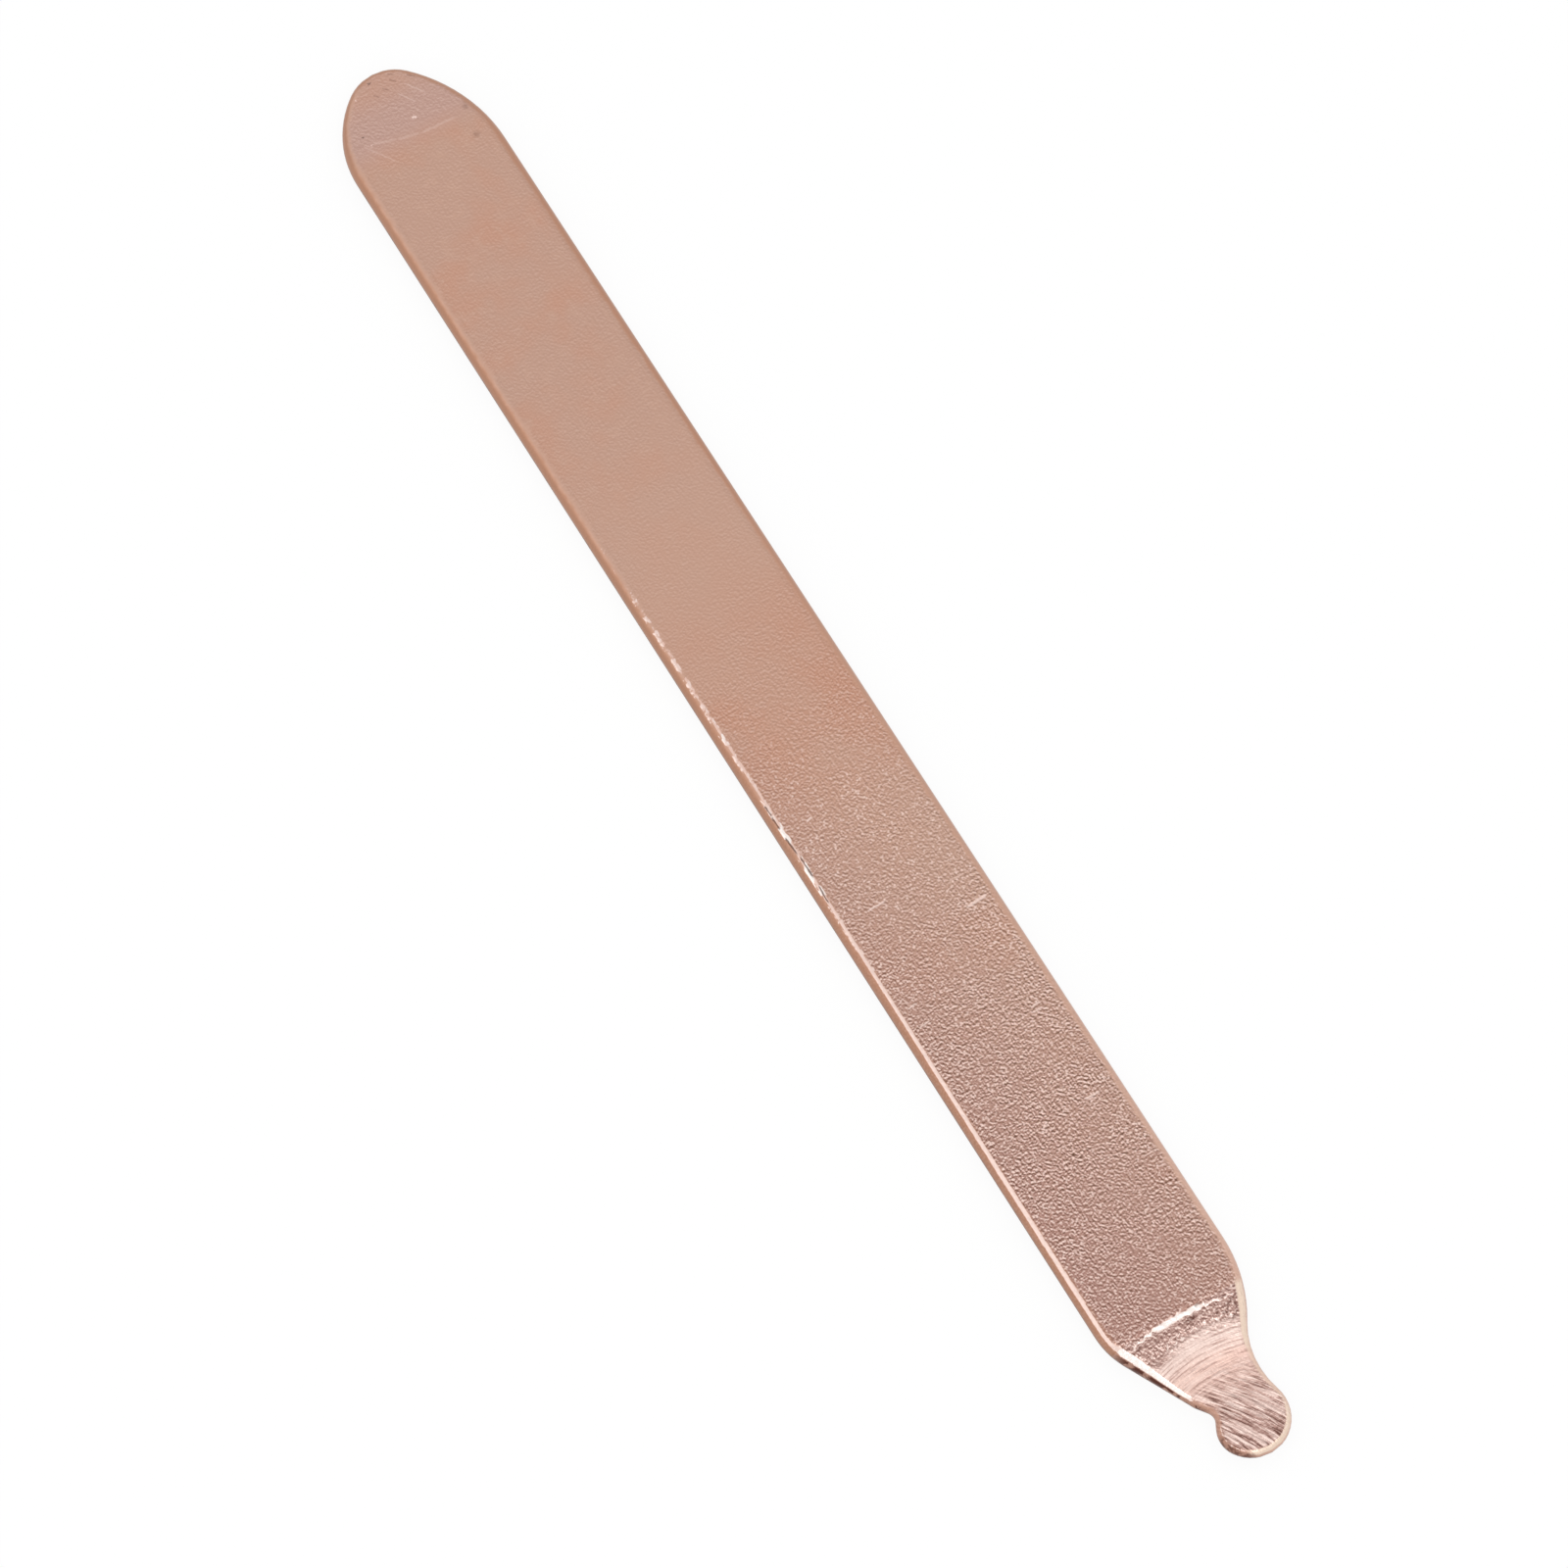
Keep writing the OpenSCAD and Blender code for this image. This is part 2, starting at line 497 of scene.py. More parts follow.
@dataclass(frozen=True)
class SingleScratch:
    """One nearly straight scratch."""

    wander: float = 0.16
    wander_cloud: Cloud = (2.5, 2.0)
    side_fade: Rise = (0.25, 0.6, 1.0, 0.0)
    end_fade: Rise = (0.32, 0.5, 1.0, 0.0)

    def build(self) -> EffectGroup:
        """Builds the scratch.

        Returns:
            The group, with a mask that is 1 along the scratch.
        """
        inputs = {
            "Place": (VECTOR, None),
            "Middle": (VECTOR, (0.0, 0.0, 0.0)),
            "Turn": (NUMBER, 0.0),
            "Length": (NUMBER, 1.0),
            "Width": (NUMBER, 0.1),
        }
        group = EffectGroup("single_scratch", inputs, ("Mask",), NUMBER)
        w = group.wiring
        place, middle, turn, length, width = (group.given[name] for name in inputs)
        x, y, _ = w.parts(w.turned(w.vector("SUBTRACT", place, middle), w.times(turn, -1.0)))
        sideways = w.plus(y, w.wobble(place, self.wander, *self.wander_cloud))
        across = w.maths("DIVIDE", w.maths("ABSOLUTE", sideways), width)
        along = w.maths("DIVIDE", w.maths("ABSOLUTE", x), length)
        group.give(Mask=w.times(w.step(across, *self.side_fade), w.step(along, *self.end_fade)))
        return group


@dataclass(frozen=True)
class EdgeWear:
    """The painted highlights and painted shade of the half-round edges, with real chipping among the
    highlights, by the place along the tube and by how far the skin leans.
    """

    right: Rise = (-2.4, -1.4, 1.0, 0.0)
    left: Rise = (-1.4, -0.6)
    # The painted highlight band along the right-hand edge.
    neck: Rise = (50.0, 51.6)
    band_lean: Rise = (4.0, 42.0, 0.135, 0.20)
    band_reach: Rise = (4.0, 42.0, 0.05, 0.085)
    neck_lean: float = 0.03
    neck_reach: float = 0.06
    band_fade: Rise = (0.4, 1.0, 1.0, 0.0)
    band_begins: Rise = (-24.0, -4.0, 0.0, 0.66)
    band_grows: Rise = (0.0, 26.0, 0.0, 0.28)
    band_ends: Rise = (55.9, 56.9, 1.0, 0.0)
    tip_along: tuple[Rise, Rise] = ((58.4, 59.2), (61.5, 62.0, 1.0, 0.0))
    tip_lean: Spot = (0.16, 0.08)
    tip_strength: float = 0.5
    # A creamy painted highlight on the rim.
    cream_lean: float = 0.21
    cream_fade: Rise = (0.07, 0.14, 1.0, 0.0)
    cream_begins: Rise = (50.5, 51.2)
    cream_neck: Rise = (54.6, 55.6, 1.0, 0.4)
    cream_stub: Rise = (59.0, 60.4)
    # Painted shade low on the right-hand flank of the neck.
    hollow_along: tuple[Rise, Rise] = ((50.4, 52.0), (57.0, 57.8, 1.0, 0.2))
    hollow_lean: tuple[Rise, Rise] = ((0.26, 0.31), (0.47, 0.54, 1.0, 0.0))
    hollow_cloud: Cloud = (1.0, 3.0, 0.6)
    hollow_patches: Rise = (0.42, 0.52, 0.22, 1.0)
    # Painted shade at the right-hand corner of the stub.
    burnt_along: Rise = (59.2, 60.2)
    burnt_across: Rise = (-1.3, -0.5, 1.0, 0.0)
    burnt_lean: Rise = (0.15, 0.23, 0.0, 0.8)
    burnt_cloud: Cloud = (1.7, 2.0)
    burnt_patches: Rise = (0.40, 0.50, 0.35, 1.0)
    # Chipping along the right-hand edge, with painted glints.
    chips_along: tuple[Rise, Rise] = ((-24.0, -12.0, 0.0, 0.5), (18.0, 26.0, 1.0, 0.0))
    most_chips: Spot = (8.5, 9.5)
    more_chips: Spot = (-2.5, 4.0)
    more_strength: float = 0.75
    chip_stretch: tuple[float, float, float] = (0.9, 2.2, 1.0)
    chip_cloud: Cloud = (1.0, 2.0)
    chip_dashes: Rise = (0.44, 0.56)
    chip_lean: tuple[Rise, Rise] = ((0.07, 0.10), (0.20, 0.25, 1.0, 0.0))
    chip_strength: float = 1.1

    def build(self) -> EffectGroup:
        """Builds the edge light: a painted highlight band and chipping with painted glints on the right, a
        creamy painted highlight on the rim, and painted shade low on the flanks.

        Returns:
            The group, with masks of painted highlight, of creamy painted highlight, of painted shade and of
            chipping with painted glints.
        """
        inputs = {"Place": (VECTOR, None), "Lean": (NUMBER, 0.0)}
        group = EffectGroup("edge_wear", inputs, ("Bright", "Cream", "Dark", "Chip"), NUMBER)
        w = group.wiring
        place, lean = (group.given[name] for name in inputs)
        x, y, _ = w.parts(place)
        right = w.step(y, *self.right)
        group.give(
            Bright=w.most(self.band(w, x, lean, right), self.tip(w, x, lean)),
            Cream=self.cream(w, x, y, lean),
            Dark=w.most(self.hollows(w, place, x, lean, right), self.burnt(w, place, x, y, lean)),
            Chip=self.chips(w, place, x, lean, right),
        )
        return group

    def band(self, w: Wiring, x: Socket, lean: Socket, right: Socket) -> Socket:
        """Makes the painted highlight band that runs along the right-hand edge up to the stub.

        Args:
            w: the group's wiring.
            x: the distance along the tube.
            lean: how far the skin leans.
            right: the mask of the right-hand side.

        Returns:
            The socket with the mask.
        """
        neck = w.step(x, *self.neck)
        centre = w.minus(w.ramp(x, *self.band_lean), w.times(neck, self.neck_lean))
        reach = w.plus(w.ramp(x, *self.band_reach), w.times(neck, self.neck_reach))
        away = w.maths("DIVIDE", w.apart(lean, centre), reach)
        begun = w.plus(w.ramp(x, *self.band_begins), w.ramp(x, *self.band_grows))
        along = w.times(begun, w.step(x, *self.band_ends))
        return w.times(w.step(away, *self.band_fade), along, right)

    def tip(self, w: Wiring, x: Socket, lean: Socket) -> Socket:
        """Makes the highlight round the end of the stub."""
        return w.times(w.hump(lean, *self.tip_lean), w.between(x, *self.tip_along), self.tip_strength)

    def cream(self, w: Wiring, x: Socket, y: Socket, lean: Socket) -> Socket:
        """Makes the creamy painted highlight on the rim, on the left of the neck and round the stub.

        Args:
            w: the group's wiring.
            x: the distance along the tube.
            y: the distance across it.
            lean: how far the skin leans.

        Returns:
            The socket with the mask.
        """
        upper = w.times(w.step(y, *self.left), w.step(w.apart(lean, self.cream_lean), *self.cream_fade))
        ends = w.most(w.step(x, *self.cream_neck), w.step(x, *self.cream_stub))
        return w.times(upper, w.times(ends, w.step(x, *self.cream_begins)))

    def hollows(self, w: Wiring, place: Socket, x: Socket, lean: Socket, right: Socket) -> Socket:
        """Makes the painted shade in patches low on the right-hand flank of the neck.

        Args:
            w: the group's wiring.
            place: the place on the piece.
            x: the distance along the tube.
            lean: how far the skin leans.
            right: the mask of the right-hand side.

        Returns:
            The socket with the mask.
        """
        patches = w.step(w.cloud(place, *self.hollow_cloud), *self.hollow_patches)
        return w.times(w.between(x, *self.hollow_along), patches, w.between(lean, *self.hollow_lean), right)

    def burnt(self, w: Wiring, place: Socket, x: Socket, y: Socket, lean: Socket) -> Socket:
        """Makes the painted shade on the rim at the right-hand corner of the stub.

        Args:
            w: the group's wiring.
            place: the place on the piece.
            x: the distance along the tube.
            y: the distance across it.
            lean: how far the skin leans.

        Returns:
            The socket with the mask.
        """
        corner = w.times(w.step(x, *self.burnt_along), w.step(y, *self.burnt_across))
        patches = w.step(w.cloud(place, *self.burnt_cloud), *self.burnt_patches)
        return w.times(corner, w.step(lean, *self.burnt_lean), patches)

    def chips(self, w: Wiring, place: Socket, x: Socket, lean: Socket, right: Socket) -> Socket:
        """Makes the chipping along the middle of the right-hand edge, with painted glints on it.

        Args:
            w: the group's wiring.
            place: the place on the piece.
            x: the distance along the tube.
            lean: how far the skin leans.
            right: the mask of the right-hand side.

        Returns:
            The socket with the mask.
        """
        more = w.most(w.hump(x, *self.most_chips), w.times(w.hump(x, *self.more_chips), self.more_strength))
        spread = w.vector("MULTIPLY", place, self.chip_stretch)
        dashes = w.step(w.cloud(spread, *self.chip_cloud), *self.chip_dashes)
        chipped = w.times(
            w.most(w.between(x, *self.chips_along), more), w.times(dashes, w.between(lean, *self.chip_lean))
        )
        return w.times(chipped, w.times(right, self.chip_strength))


class Effects:
    """The shader node groups that the finishes share, each built once."""

    def __init__(self) -> None:
        """Builds every group."""
        self.grain = SinteredGrain().build()
        self.lines = ToolLines().build()
        self.tarnish = HandlingTarnish().build()
        self.scratch = SingleScratch().build()
        self.edges = EdgeWear().build()


# ------------------------------------------------------------------------------------------ finishes


@dataclass(frozen=True)
class Scratch:
    """A thin straight mark on the skin, from one spot to another."""

    start: Spot
    end: Spot
    width: float = 0.12
    strength: float = 1.0

    def mask(self, effects: Effects, wiring: Wiring, place: Socket) -> Socket:
        """Places the scratch in a material.

        Args:
            effects: the shared node groups.
            wiring: the material's wiring.
            place: the place on the piece, in millimetres.

        Returns:
            The socket with the scratch's mask.
        """
        (x0, y0), (x1, y1) = self.start, self.end
        values = {
            "Place": place,
            "Middle": ((x0 + x1) / 2, (y0 + y1) / 2, 0.0),
            "Turn": math.atan2(y1 - y0, x1 - x0),
            "Length": math.hypot(x1 - x0, y1 - y0),
            "Width": self.width,
        }
        return wiring.times(effects.scratch.placed(wiring, **values)["Mask"], self.strength)


def together(marks: tuple[Scratch, ...], effects: Effects, wiring: Wiring, place: Socket) -> Socket:
    """Places several scratches in a material as one mask.

    Args:
        marks: the scratches.
        effects: the shared node groups.
        wiring: the material's wiring.
        place: the place on the piece, in millimetres.

    Returns:
        The socket with the mask of all of them.
    """
    mask = marks[0].mask(effects, wiring, place)
    for mark in marks[1:]:
        mask = wiring.most(mask, mark.mask(effects, wiring, place))
    return mask


@dataclass(frozen=True)
class Copper:
    """Bare copper, as the tube's two finishes share it."""

    name: str
    fresh: Colour
    warm: Colour
    pale: Colour
    # The edges are painted a darker, warmer shade in edge, and a paler highlight in edge_far.
    edge: Colour
    edge_far: Colour
    # deep is the colour of painted shade, and of the dark cracks.
    deep: Colour
    # The next three colour abraded metal, scratches and painted highlights, lightest last.
    polish: Colour
    bright: Colour
    white: Colour
    # The next colour is a creamy painted highlight.
    cream: Colour
    roughness: float
    relief: float
    grain_fineness: float = 5.0
    pit_strength: float = 0.8
    chip_reach: float = 1.3
    chip_cloud: Cloud = (3.4, 2.0, 0.6)
    chip_shown: Rise = (0.38, 0.60)
    chip_start: Rise = (0.05, 0.3)
    chip_strongest: Rise = (0.55, 0.95)
    rim_streaks: float = 0.12
    rim_cloud: Cloud = (1.1, 3.0)
    # The left edge pales toward the stub and the right-hand shoulder toward the nose with a painted
    # highlight; the edges take painted shade, darker on their lower half.
    rim_paler_along: Rise = (-20.0, 55.0)
    rim_paler_across: Rise = (-2.0, 2.0)
    rim_rubbed_along: Rise = (2.0, 28.0, 1.0, 0.0)
    rim_rubbed_across: Rise = (-2.4, -1.4, 0.42, 0.0)
    rim_rubbed_lean: Spot = (0.15, 0.11)
    rim_warmed: Rise = (0.07, 0.2, 0.0, 0.9)
    rim_shaded: Rise = (0.40, 0.60, 0.0, 0.9)
    underside: Spot = (0.72, 0.92)

    def start(self) -> tuple[bpy.types.Material, Wiring, bpy.types.Node]:
        """Makes the empty metal material.

        Returns:
            The material, its wiring and its shader node.
        """
        material = bpy.data.materials.new(self.name)
        material.use_nodes = True
        shader = material.node_tree.nodes["Principled BSDF"]
        shader.inputs["Metallic"].default_value = 1.0
        return material, Wiring(material.node_tree), shader

    def join(self, w: Wiring, shader: bpy.types.Node, colour: Socket, rough: Socket, height: Socket) -> None:
        """Joins the finish to the metal's shader.

        Args:
            w: the material's wiring.
            shader: the metal's shader node.
            colour: the colour.
            rough: the roughness.
            height: the height of the fine relief, 0 to 1.
        """
        bump = w.node("Bump")
        for label, value in (("Strength", 1.0), ("Distance", self.relief * MM), ("Height", height)):
            w.put(bump.inputs[label], value)
        for label, value in (("Base Color", colour), ("Roughness", rough), ("Normal", bump.outputs[0])):
            w.put(shader.inputs[label], value)

    @staticmethod
    def place(wiring: Wiring) -> Socket:
        """Gives the place on the piece in millimetres.

        Args:
            wiring: the material's wiring.

        Returns:
            The socket with the place.
        """
        mapping = wiring.node("Mapping", vector_type="POINT")
        wiring.put(mapping.inputs["Vector"], wiring.node("TexCoord").outputs["Object"])
        wiring.put(mapping.inputs["Scale"], (1 / MM, 1 / MM, 1 / MM))
        return mapping.outputs[0]

    @staticmethod
    def marked(wiring: Wiring, name: str) -> Socket:
        """Reads one of the piece's own marks, by the name of its attribute."""
        return wiring.node("Attribute", attribute_name=name).outputs["Fac"]

    def tarnished(self, effects: Effects, w: Wiring, place: Socket, flecks: Colour, amount: float) -> Socket:
        """Gives the colour that handling leaves.

        Args:
            effects: the shared node groups.
            w: the material's wiring.
            place: the place on the piece, in millimetres.
            flecks: the colour of the small flecks.
            amount: how strong the tarnish is.

        Returns:
            The socket with the colour.
        """
        colours = {"Fresh": self.fresh, "Warm": self.warm, "Pale": flecks}
        return effects.tarnish.placed(w, Place=place, Amount=amount, **colours)["Colour"]

    def grainy(self, w: Wiring, grain: bpy.types.NodeOutputs, colour: Socket) -> Socket:
        """Lays the grain's painted shade and painted highlights over a colour.

        Args:
            w: the material's wiring.
            grain: the outputs of the placed grain.
            colour: the colour under them.

        Returns:
            The socket with the colour.
        """
        pitted = w.tint(w.times(grain["Pit"], self.pit_strength), colour, self.deep)
        return w.tint(grain["Glint"], pitted, self.bright)

    def wear(
        self, w: Wiring, place: Socket, colour: Socket, worn: Socket, light: Colour, lightest: Colour
    ) -> tuple[Socket, Socket]:
        """Lays bright marks over a colour, finely broken up: abrasion and painted highlights.

        Args:
            w: the material's wiring.
            place: the place on the piece, in millimetres.
            colour: the colour under the marks.
            worn: how strong the abrasion and the painted highlight are at each place, 0 to 1.
            light: the colour of the marks.
            lightest: their colour where the marks are strongest.

        Returns:
            The socket with the colour, and the socket with the broken marks.
        """
        chipped = w.plus(worn, w.wobble(place, self.chip_reach, *self.chip_cloud))
        shown = w.times(w.ramp(chipped, *self.chip_shown), w.step(worn, *self.chip_start))
        rubbed = w.tint(shown, colour, light)
        strongest = w.times(w.step(worn, *self.chip_strongest), shown)
        return w.tint(strongest, rubbed, lightest), shown

    def rimmed(self, w: Wiring, colour: Socket, place: Socket) -> Socket:
        """Warms the half-round edges with painted shade, the left one less toward the stub, adds a painted
        highlight on the right-hand shoulder, and darkens their lower half with painted shade.

        Args:
            w: the material's wiring.
            colour: the colour of the flat faces.
            place: the place on the piece, in millimetres.

        Returns:
            The socket with the colour.
        """
        lean = w.plus(self.marked(w, "lean"), w.wobble(place, self.rim_streaks, *self.rim_cloud))
        x, y, _ = w.parts(place)
        # A paler painted highlight on the left edge toward the stub.
        paler = w.times(w.ramp(x, *self.rim_paler_along), w.step(y, *self.rim_paler_across))
        # A painted highlight on the right-hand shoulder toward the nose.
        nearer = w.times(w.step(y, *self.rim_rubbed_across), w.ramp(x, *self.rim_rubbed_along))
        rubbed = w.times(nearer, w.hump(lean, *self.rim_rubbed_lean))
        edge = w.tint(paler, self.edge, self.edge_far)
        warmed = w.tint(w.step(lean, *self.rim_warmed), colour, edge)
        warmed = w.tint(rubbed, warmed, self.edge_far)
        # Painted shade on the lower half of the edges.
        shaded = w.between(lean, self.rim_shaded, (*self.underside, 1.0, 0.0))
        under = w.tint(w.step(lean, *self.underside), warmed, colour)
        return w.tint(shaded, under, self.deep)


@dataclass(frozen=True)
class SatinCopper(Copper):
    """The long flat of the tube: smooth at the nose, grainy toward the stub."""

    light: Colour = (0.514, 0.321, 0.245)
    nose: Colour = (0.478, 0.304, 0.255)
    tarnish: float = 0.6
    grain_along: Rise = (-12.0, 32.0, 0.13, 1.1)
    grain_cloud: Cloud = (0.35, 2.0)
    grain_uneven: Rise = (0.3, 0.7, 0.8, 1.12)
    grain_lessened: Rise = (38.0, 50.0, 1.0, 0.76)
    grain_nose: Rise = (-55.4, -57.0, 0.0, 0.2)
    red_at: float = -2.0
    red_reach: float = 14.0
    light_reach: float = 36.0
    red_cloud: Cloud = (0.2,)
    red_patches: Rise = (0.35, 0.6, 0.45, 1.0)
    spun: tuple[Rise, Rise] = ((-54.2, -57.0, 0.0, 0.95), (-58.2, -61.0, 1.0, 0.35))
    slant: float = 2.5
    paling: Rise = (6.0, 56.0)
    upper: Rise = (0.8, 1.0)
    scratch_strength: float = 0.8
    scratch_depth: float = -0.6
    peel_cloud: Cloud = (1.7, 2.0)
    peel: float = 0.35
    grain_roughness: float = 0.05
    worn_polish: float = 0.12
    scratches: tuple[Scratch, ...] = ()
    cracks: tuple[Scratch, ...] = ()

    def coloured(self, effects: Effects, w: Wiring, place: Socket) -> Socket:
        """Colours the bare flat: reddish in its middle, greyer on the spun nose, darker toward the stub.

        Args:
            effects: the shared node groups.
            w: the material's wiring.
            place: the place on the piece, in millimetres.

        Returns:
            The socket with the colour.
        """
        x, y, _ = w.parts(place)
        tarnish = self.tarnished(effects, w, place, self.light, self.tarnish)
        handled = w.tint(w.hump(x, self.red_at, self.light_reach), tarnish, self.light)
        patches = w.step(w.cloud(place, *self.red_cloud), *self.red_patches)
        red = w.times(w.hump(x, self.red_at, self.red_reach), patches)
        handled = w.tint(w.between(x, *self.spun), handled, self.nose)
        colour = w.tint(red, handled, self.warm)
        toward = w.minus(x, w.times(y, self.slant))
        return w.tint(w.ramp(toward, *self.paling), colour, self.pale)

    def make(self, effects: Effects) -> bpy.types.Material:
        """Builds the material.

        Args:
            effects: the shared node groups.

        Returns:
            The material.
        """
        material, w, shader = self.start()
        place = self.place(w)
        x, _, z = w.parts(place)
        growth = w.ramp(x, *self.grain_along)
        uneven = w.step(w.cloud(place, *self.grain_cloud), *self.grain_uneven)
        lessened = w.times(uneven, w.ramp(x, *self.grain_lessened))
        amount = w.times(w.most(growth, w.step(x, *self.grain_nose)), lessened)
        grain = effects.grain.placed(w, Place=place, Amount=amount, Fineness=self.grain_fineness)
        colour = self.grainy(w, grain, self.coloured(effects, w, place))
        colour = self.rimmed(w, colour, place)
        above = w.step(z, *self.upper)
        marks = w.times(together(self.scratches, effects, w, place), above)
        edges = effects.edges.placed(w, Place=place, Lean=self.marked(w, "lean"))
        # The creamy edge colour is a painted highlight.
        colour = w.tint(edges["Cream"], colour, self.cream)
        # A painted highlight band along the right-hand edge.
        colour, banded = self.wear(w, place, colour, edges["Bright"], self.polish, self.bright)
        # Abraded creases and edge chipping, with painted highlights on them.
        bare = w.most(self.marked(w, "worn"), edges["Chip"])
        colour, rubbed = self.wear(w, place, colour, bare, self.bright, self.white)
        worn = w.most(banded, rubbed)
        colour = w.tint(w.times(marks, self.scratch_strength), colour, self.bright)
        cracks = w.times(together(self.cracks, effects, w, place), above)
        # Painted shade in the dents, on the flanks and at the stub corner, with the dark cracks.
        scored = w.most(w.most(self.marked(w, "scored"), cracks), edges["Dark"], clamp=True)
        colour = w.tint(scored, colour, self.deep)
        rough = w.plus(self.roughness, w.times(growth, self.grain_roughness))
        rough = w.minus(rough, w.times(worn, self.worn_polish))
        peel = w.times(w.cloud(place, *self.peel_cloud), self.peel)
        height = w.plus(w.plus(grain["Height"], peel), w.times(marks, self.scratch_depth))
        self.join(w, shader, colour, rough, height)
        return material


@dataclass(frozen=True)
class CrimpedCopper(Copper):
    """The pressed slope and the filed stub: bare metal cut by the tools, lightened partly by abrasion and
    partly by painted highlights, with painted shade in the tool grooves.
    """

    tarnish: float = 0.7
    frayed: float = 1.6
    frayed_cloud: Cloud = (1.4, 3.0, 0.6)
    slope: tuple[Rise, Rise] = ((52.2, 53.5), (55.0, 57.1, 1.0, 0.0))
    slope_light: float = 0.76
    slope_polish: Rise = (53.2, 55.2)
    waist: tuple[Rise, Rise] = ((55.6, 59.2, 0.42, 0.0), (54.2, 55.8))
    tooled: Rise = (52.3, 52.7)
    grain_along: Rise = (52.0, 53.2, 0.85, 0.3)
    grain_height: float = 0.8
    file_stretch: Spot = (0.6, 6.0)
    jaw_turn: float = 88.0
    jaw_stretch: Spot = (0.5, 5.6)
    dark_lines: float = 0.82
    ridge_light: Rise = (0.42, 0.05, 0.0, 0.45)
    ridge_dark: Rise = (0.55, 1.0, 0.0, 0.3)
    worn_polish: float = 0.1

    def make(self, effects: Effects) -> bpy.types.Material:
        """Builds the material.

        Args:
            effects: the shared node groups.

        Returns:
            The material.
        """
        material, w, shader = self.start()
        place = self.place(w)
        x, y, _ = w.parts(place)
        bowed = w.minus(x, w.times(w.times(y, y), TOOLS.jaw_bow))
        beyond = w.minus(x, TOOLS.file_middle)
        swept = w.joined(x, w.plus(y, w.times(w.times(beyond, beyond), TOOLS.file_sweep)))
        filing = w.stretched(swept, TOOLS.file_turn, self.file_stretch)
        pressing = w.stretched(w.joined(bowed, y), self.jaw_turn, self.jaw_stretch)
        filed = effects.lines.placed(w, Place=filing, Amount=1.0)
        pressed = effects.lines.placed(w, Place=pressing, Amount=1.0)
        slope = w.between(w.plus(bowed, w.wobble(place, self.frayed, *self.frayed_cloud)), *self.slope)
        tooled = w.step(bowed, *self.tooled)
        heights, darks, brights = (
            w.times(w.blend(slope, filed[name], pressed[name]), tooled)
            for name in ("Height", "Dark", "Bright")
        )
        amount = w.step(bowed, *self.grain_along)
        grain = effects.grain.placed(w, Place=place, Amount=amount, Fineness=self.grain_fineness)
        colour = self.grainy(w, grain, self.tarnished(effects, w, place, self.pale, self.tarnish))
        # The slope and the waist of the stub are lightened partly as abraded metal and partly with a painted
        # highlight.
        light = w.tint(w.step(bowed, *self.slope_polish), self.bright, self.polish)
        shining = w.most(w.times(slope, self.slope_light), w.between(bowed, *self.waist))
        colour = w.tint(shining, colour, light)
        # Painted shade in the grooves of the tool lines and a painted highlight on their ridges.
        colour = w.tint(w.times(darks, self.dark_lines), colour, w.tint(slope, self.deep, self.fresh))
        colour = w.tint(brights, colour, w.tint(slope, self.bright, light))
        cut = self.marked(w, "cut")
        # Where the cuts leave ridges they get a painted highlight, and the cut grooves painted shade.
        colour = w.tint(w.step(cut, *self.ridge_light), colour, self.bright)
        colour = w.tint(w.step(cut, *self.ridge_dark), colour, self.deep)
        colour = self.rimmed(w, colour, place)
        edges = effects.edges.placed(w, Place=place, Lean=self.marked(w, "lean"))
        colour = w.tint(edges["Cream"], colour, self.cream)
        colour, banded = self.wear(w, place, colour, edges["Bright"], self.bright, self.white)
        # Abraded folds and dents, with painted highlights on them.
        colour, bared = self.wear(w, place, colour, self.marked(w, "worn"), self.bright, self.white)
        # Painted shade in the dents, on the flanks and at the stub corner.
        colour = w.tint(w.most(self.marked(w, "scored"), edges["Dark"]), colour, self.deep)
        rough = w.minus(self.roughness, w.times(w.most(banded, bared), self.worn_polish))
        self.join(w, shader, colour, rough, w.plus(heights, w.times(grain["Height"], self.grain_height)))
        return material


# ------------------------------------------------------------------------------------------ the tube


@dataclass(frozen=True)
class Pattern:
    """A smooth random pattern, read at the points of the skin."""

    scale: Spot
    seed: float
    turn: float = 0.0
    strength: float = 1.0
    seed_step: float = 7.31

    def at(self, spots: np.ndarray) -> np.ndarray:
        """Reads the pattern.

        Args:
            spots: the points, in millimetres.

        Returns:
            A number for each point, from about -1 to 1 at full strength.
        """
        c, s = math.cos(math.radians(self.turn)), math.sin(math.radians(self.turn))
        u = (spots[:, 0] * c + spots[:, 1] * s) * self.scale[0]
        v = (spots[:, 1] * c - spots[:, 0] * s) * self.scale[1]
        layer = self.seed * self.seed_step
        return self.strength * np.array([noise.noise((a, b, layer)) for a, b in zip(u, v)])


@dataclass(frozen=True)
class Stretch:
    """One stretch of the tube and how finely its skin is divided for tool marks."""

    start: float
    end: float
    along: float
    across: float

    @staticmethod
    def stations(pitch: float, low: float, high: float) -> list[float]:
        """Lists evenly spaced cuts between two ends.

        Args:
            pitch: the spacing aimed at.
            low: the lower end, which gets no cut.
            high: the upper end, which gets no cut.

        Returns:
            The places of the cuts.
        """
        count = max(1, round((high - low) / pitch))
        return [low + (high - low) * i / count for i in range(1, count)]


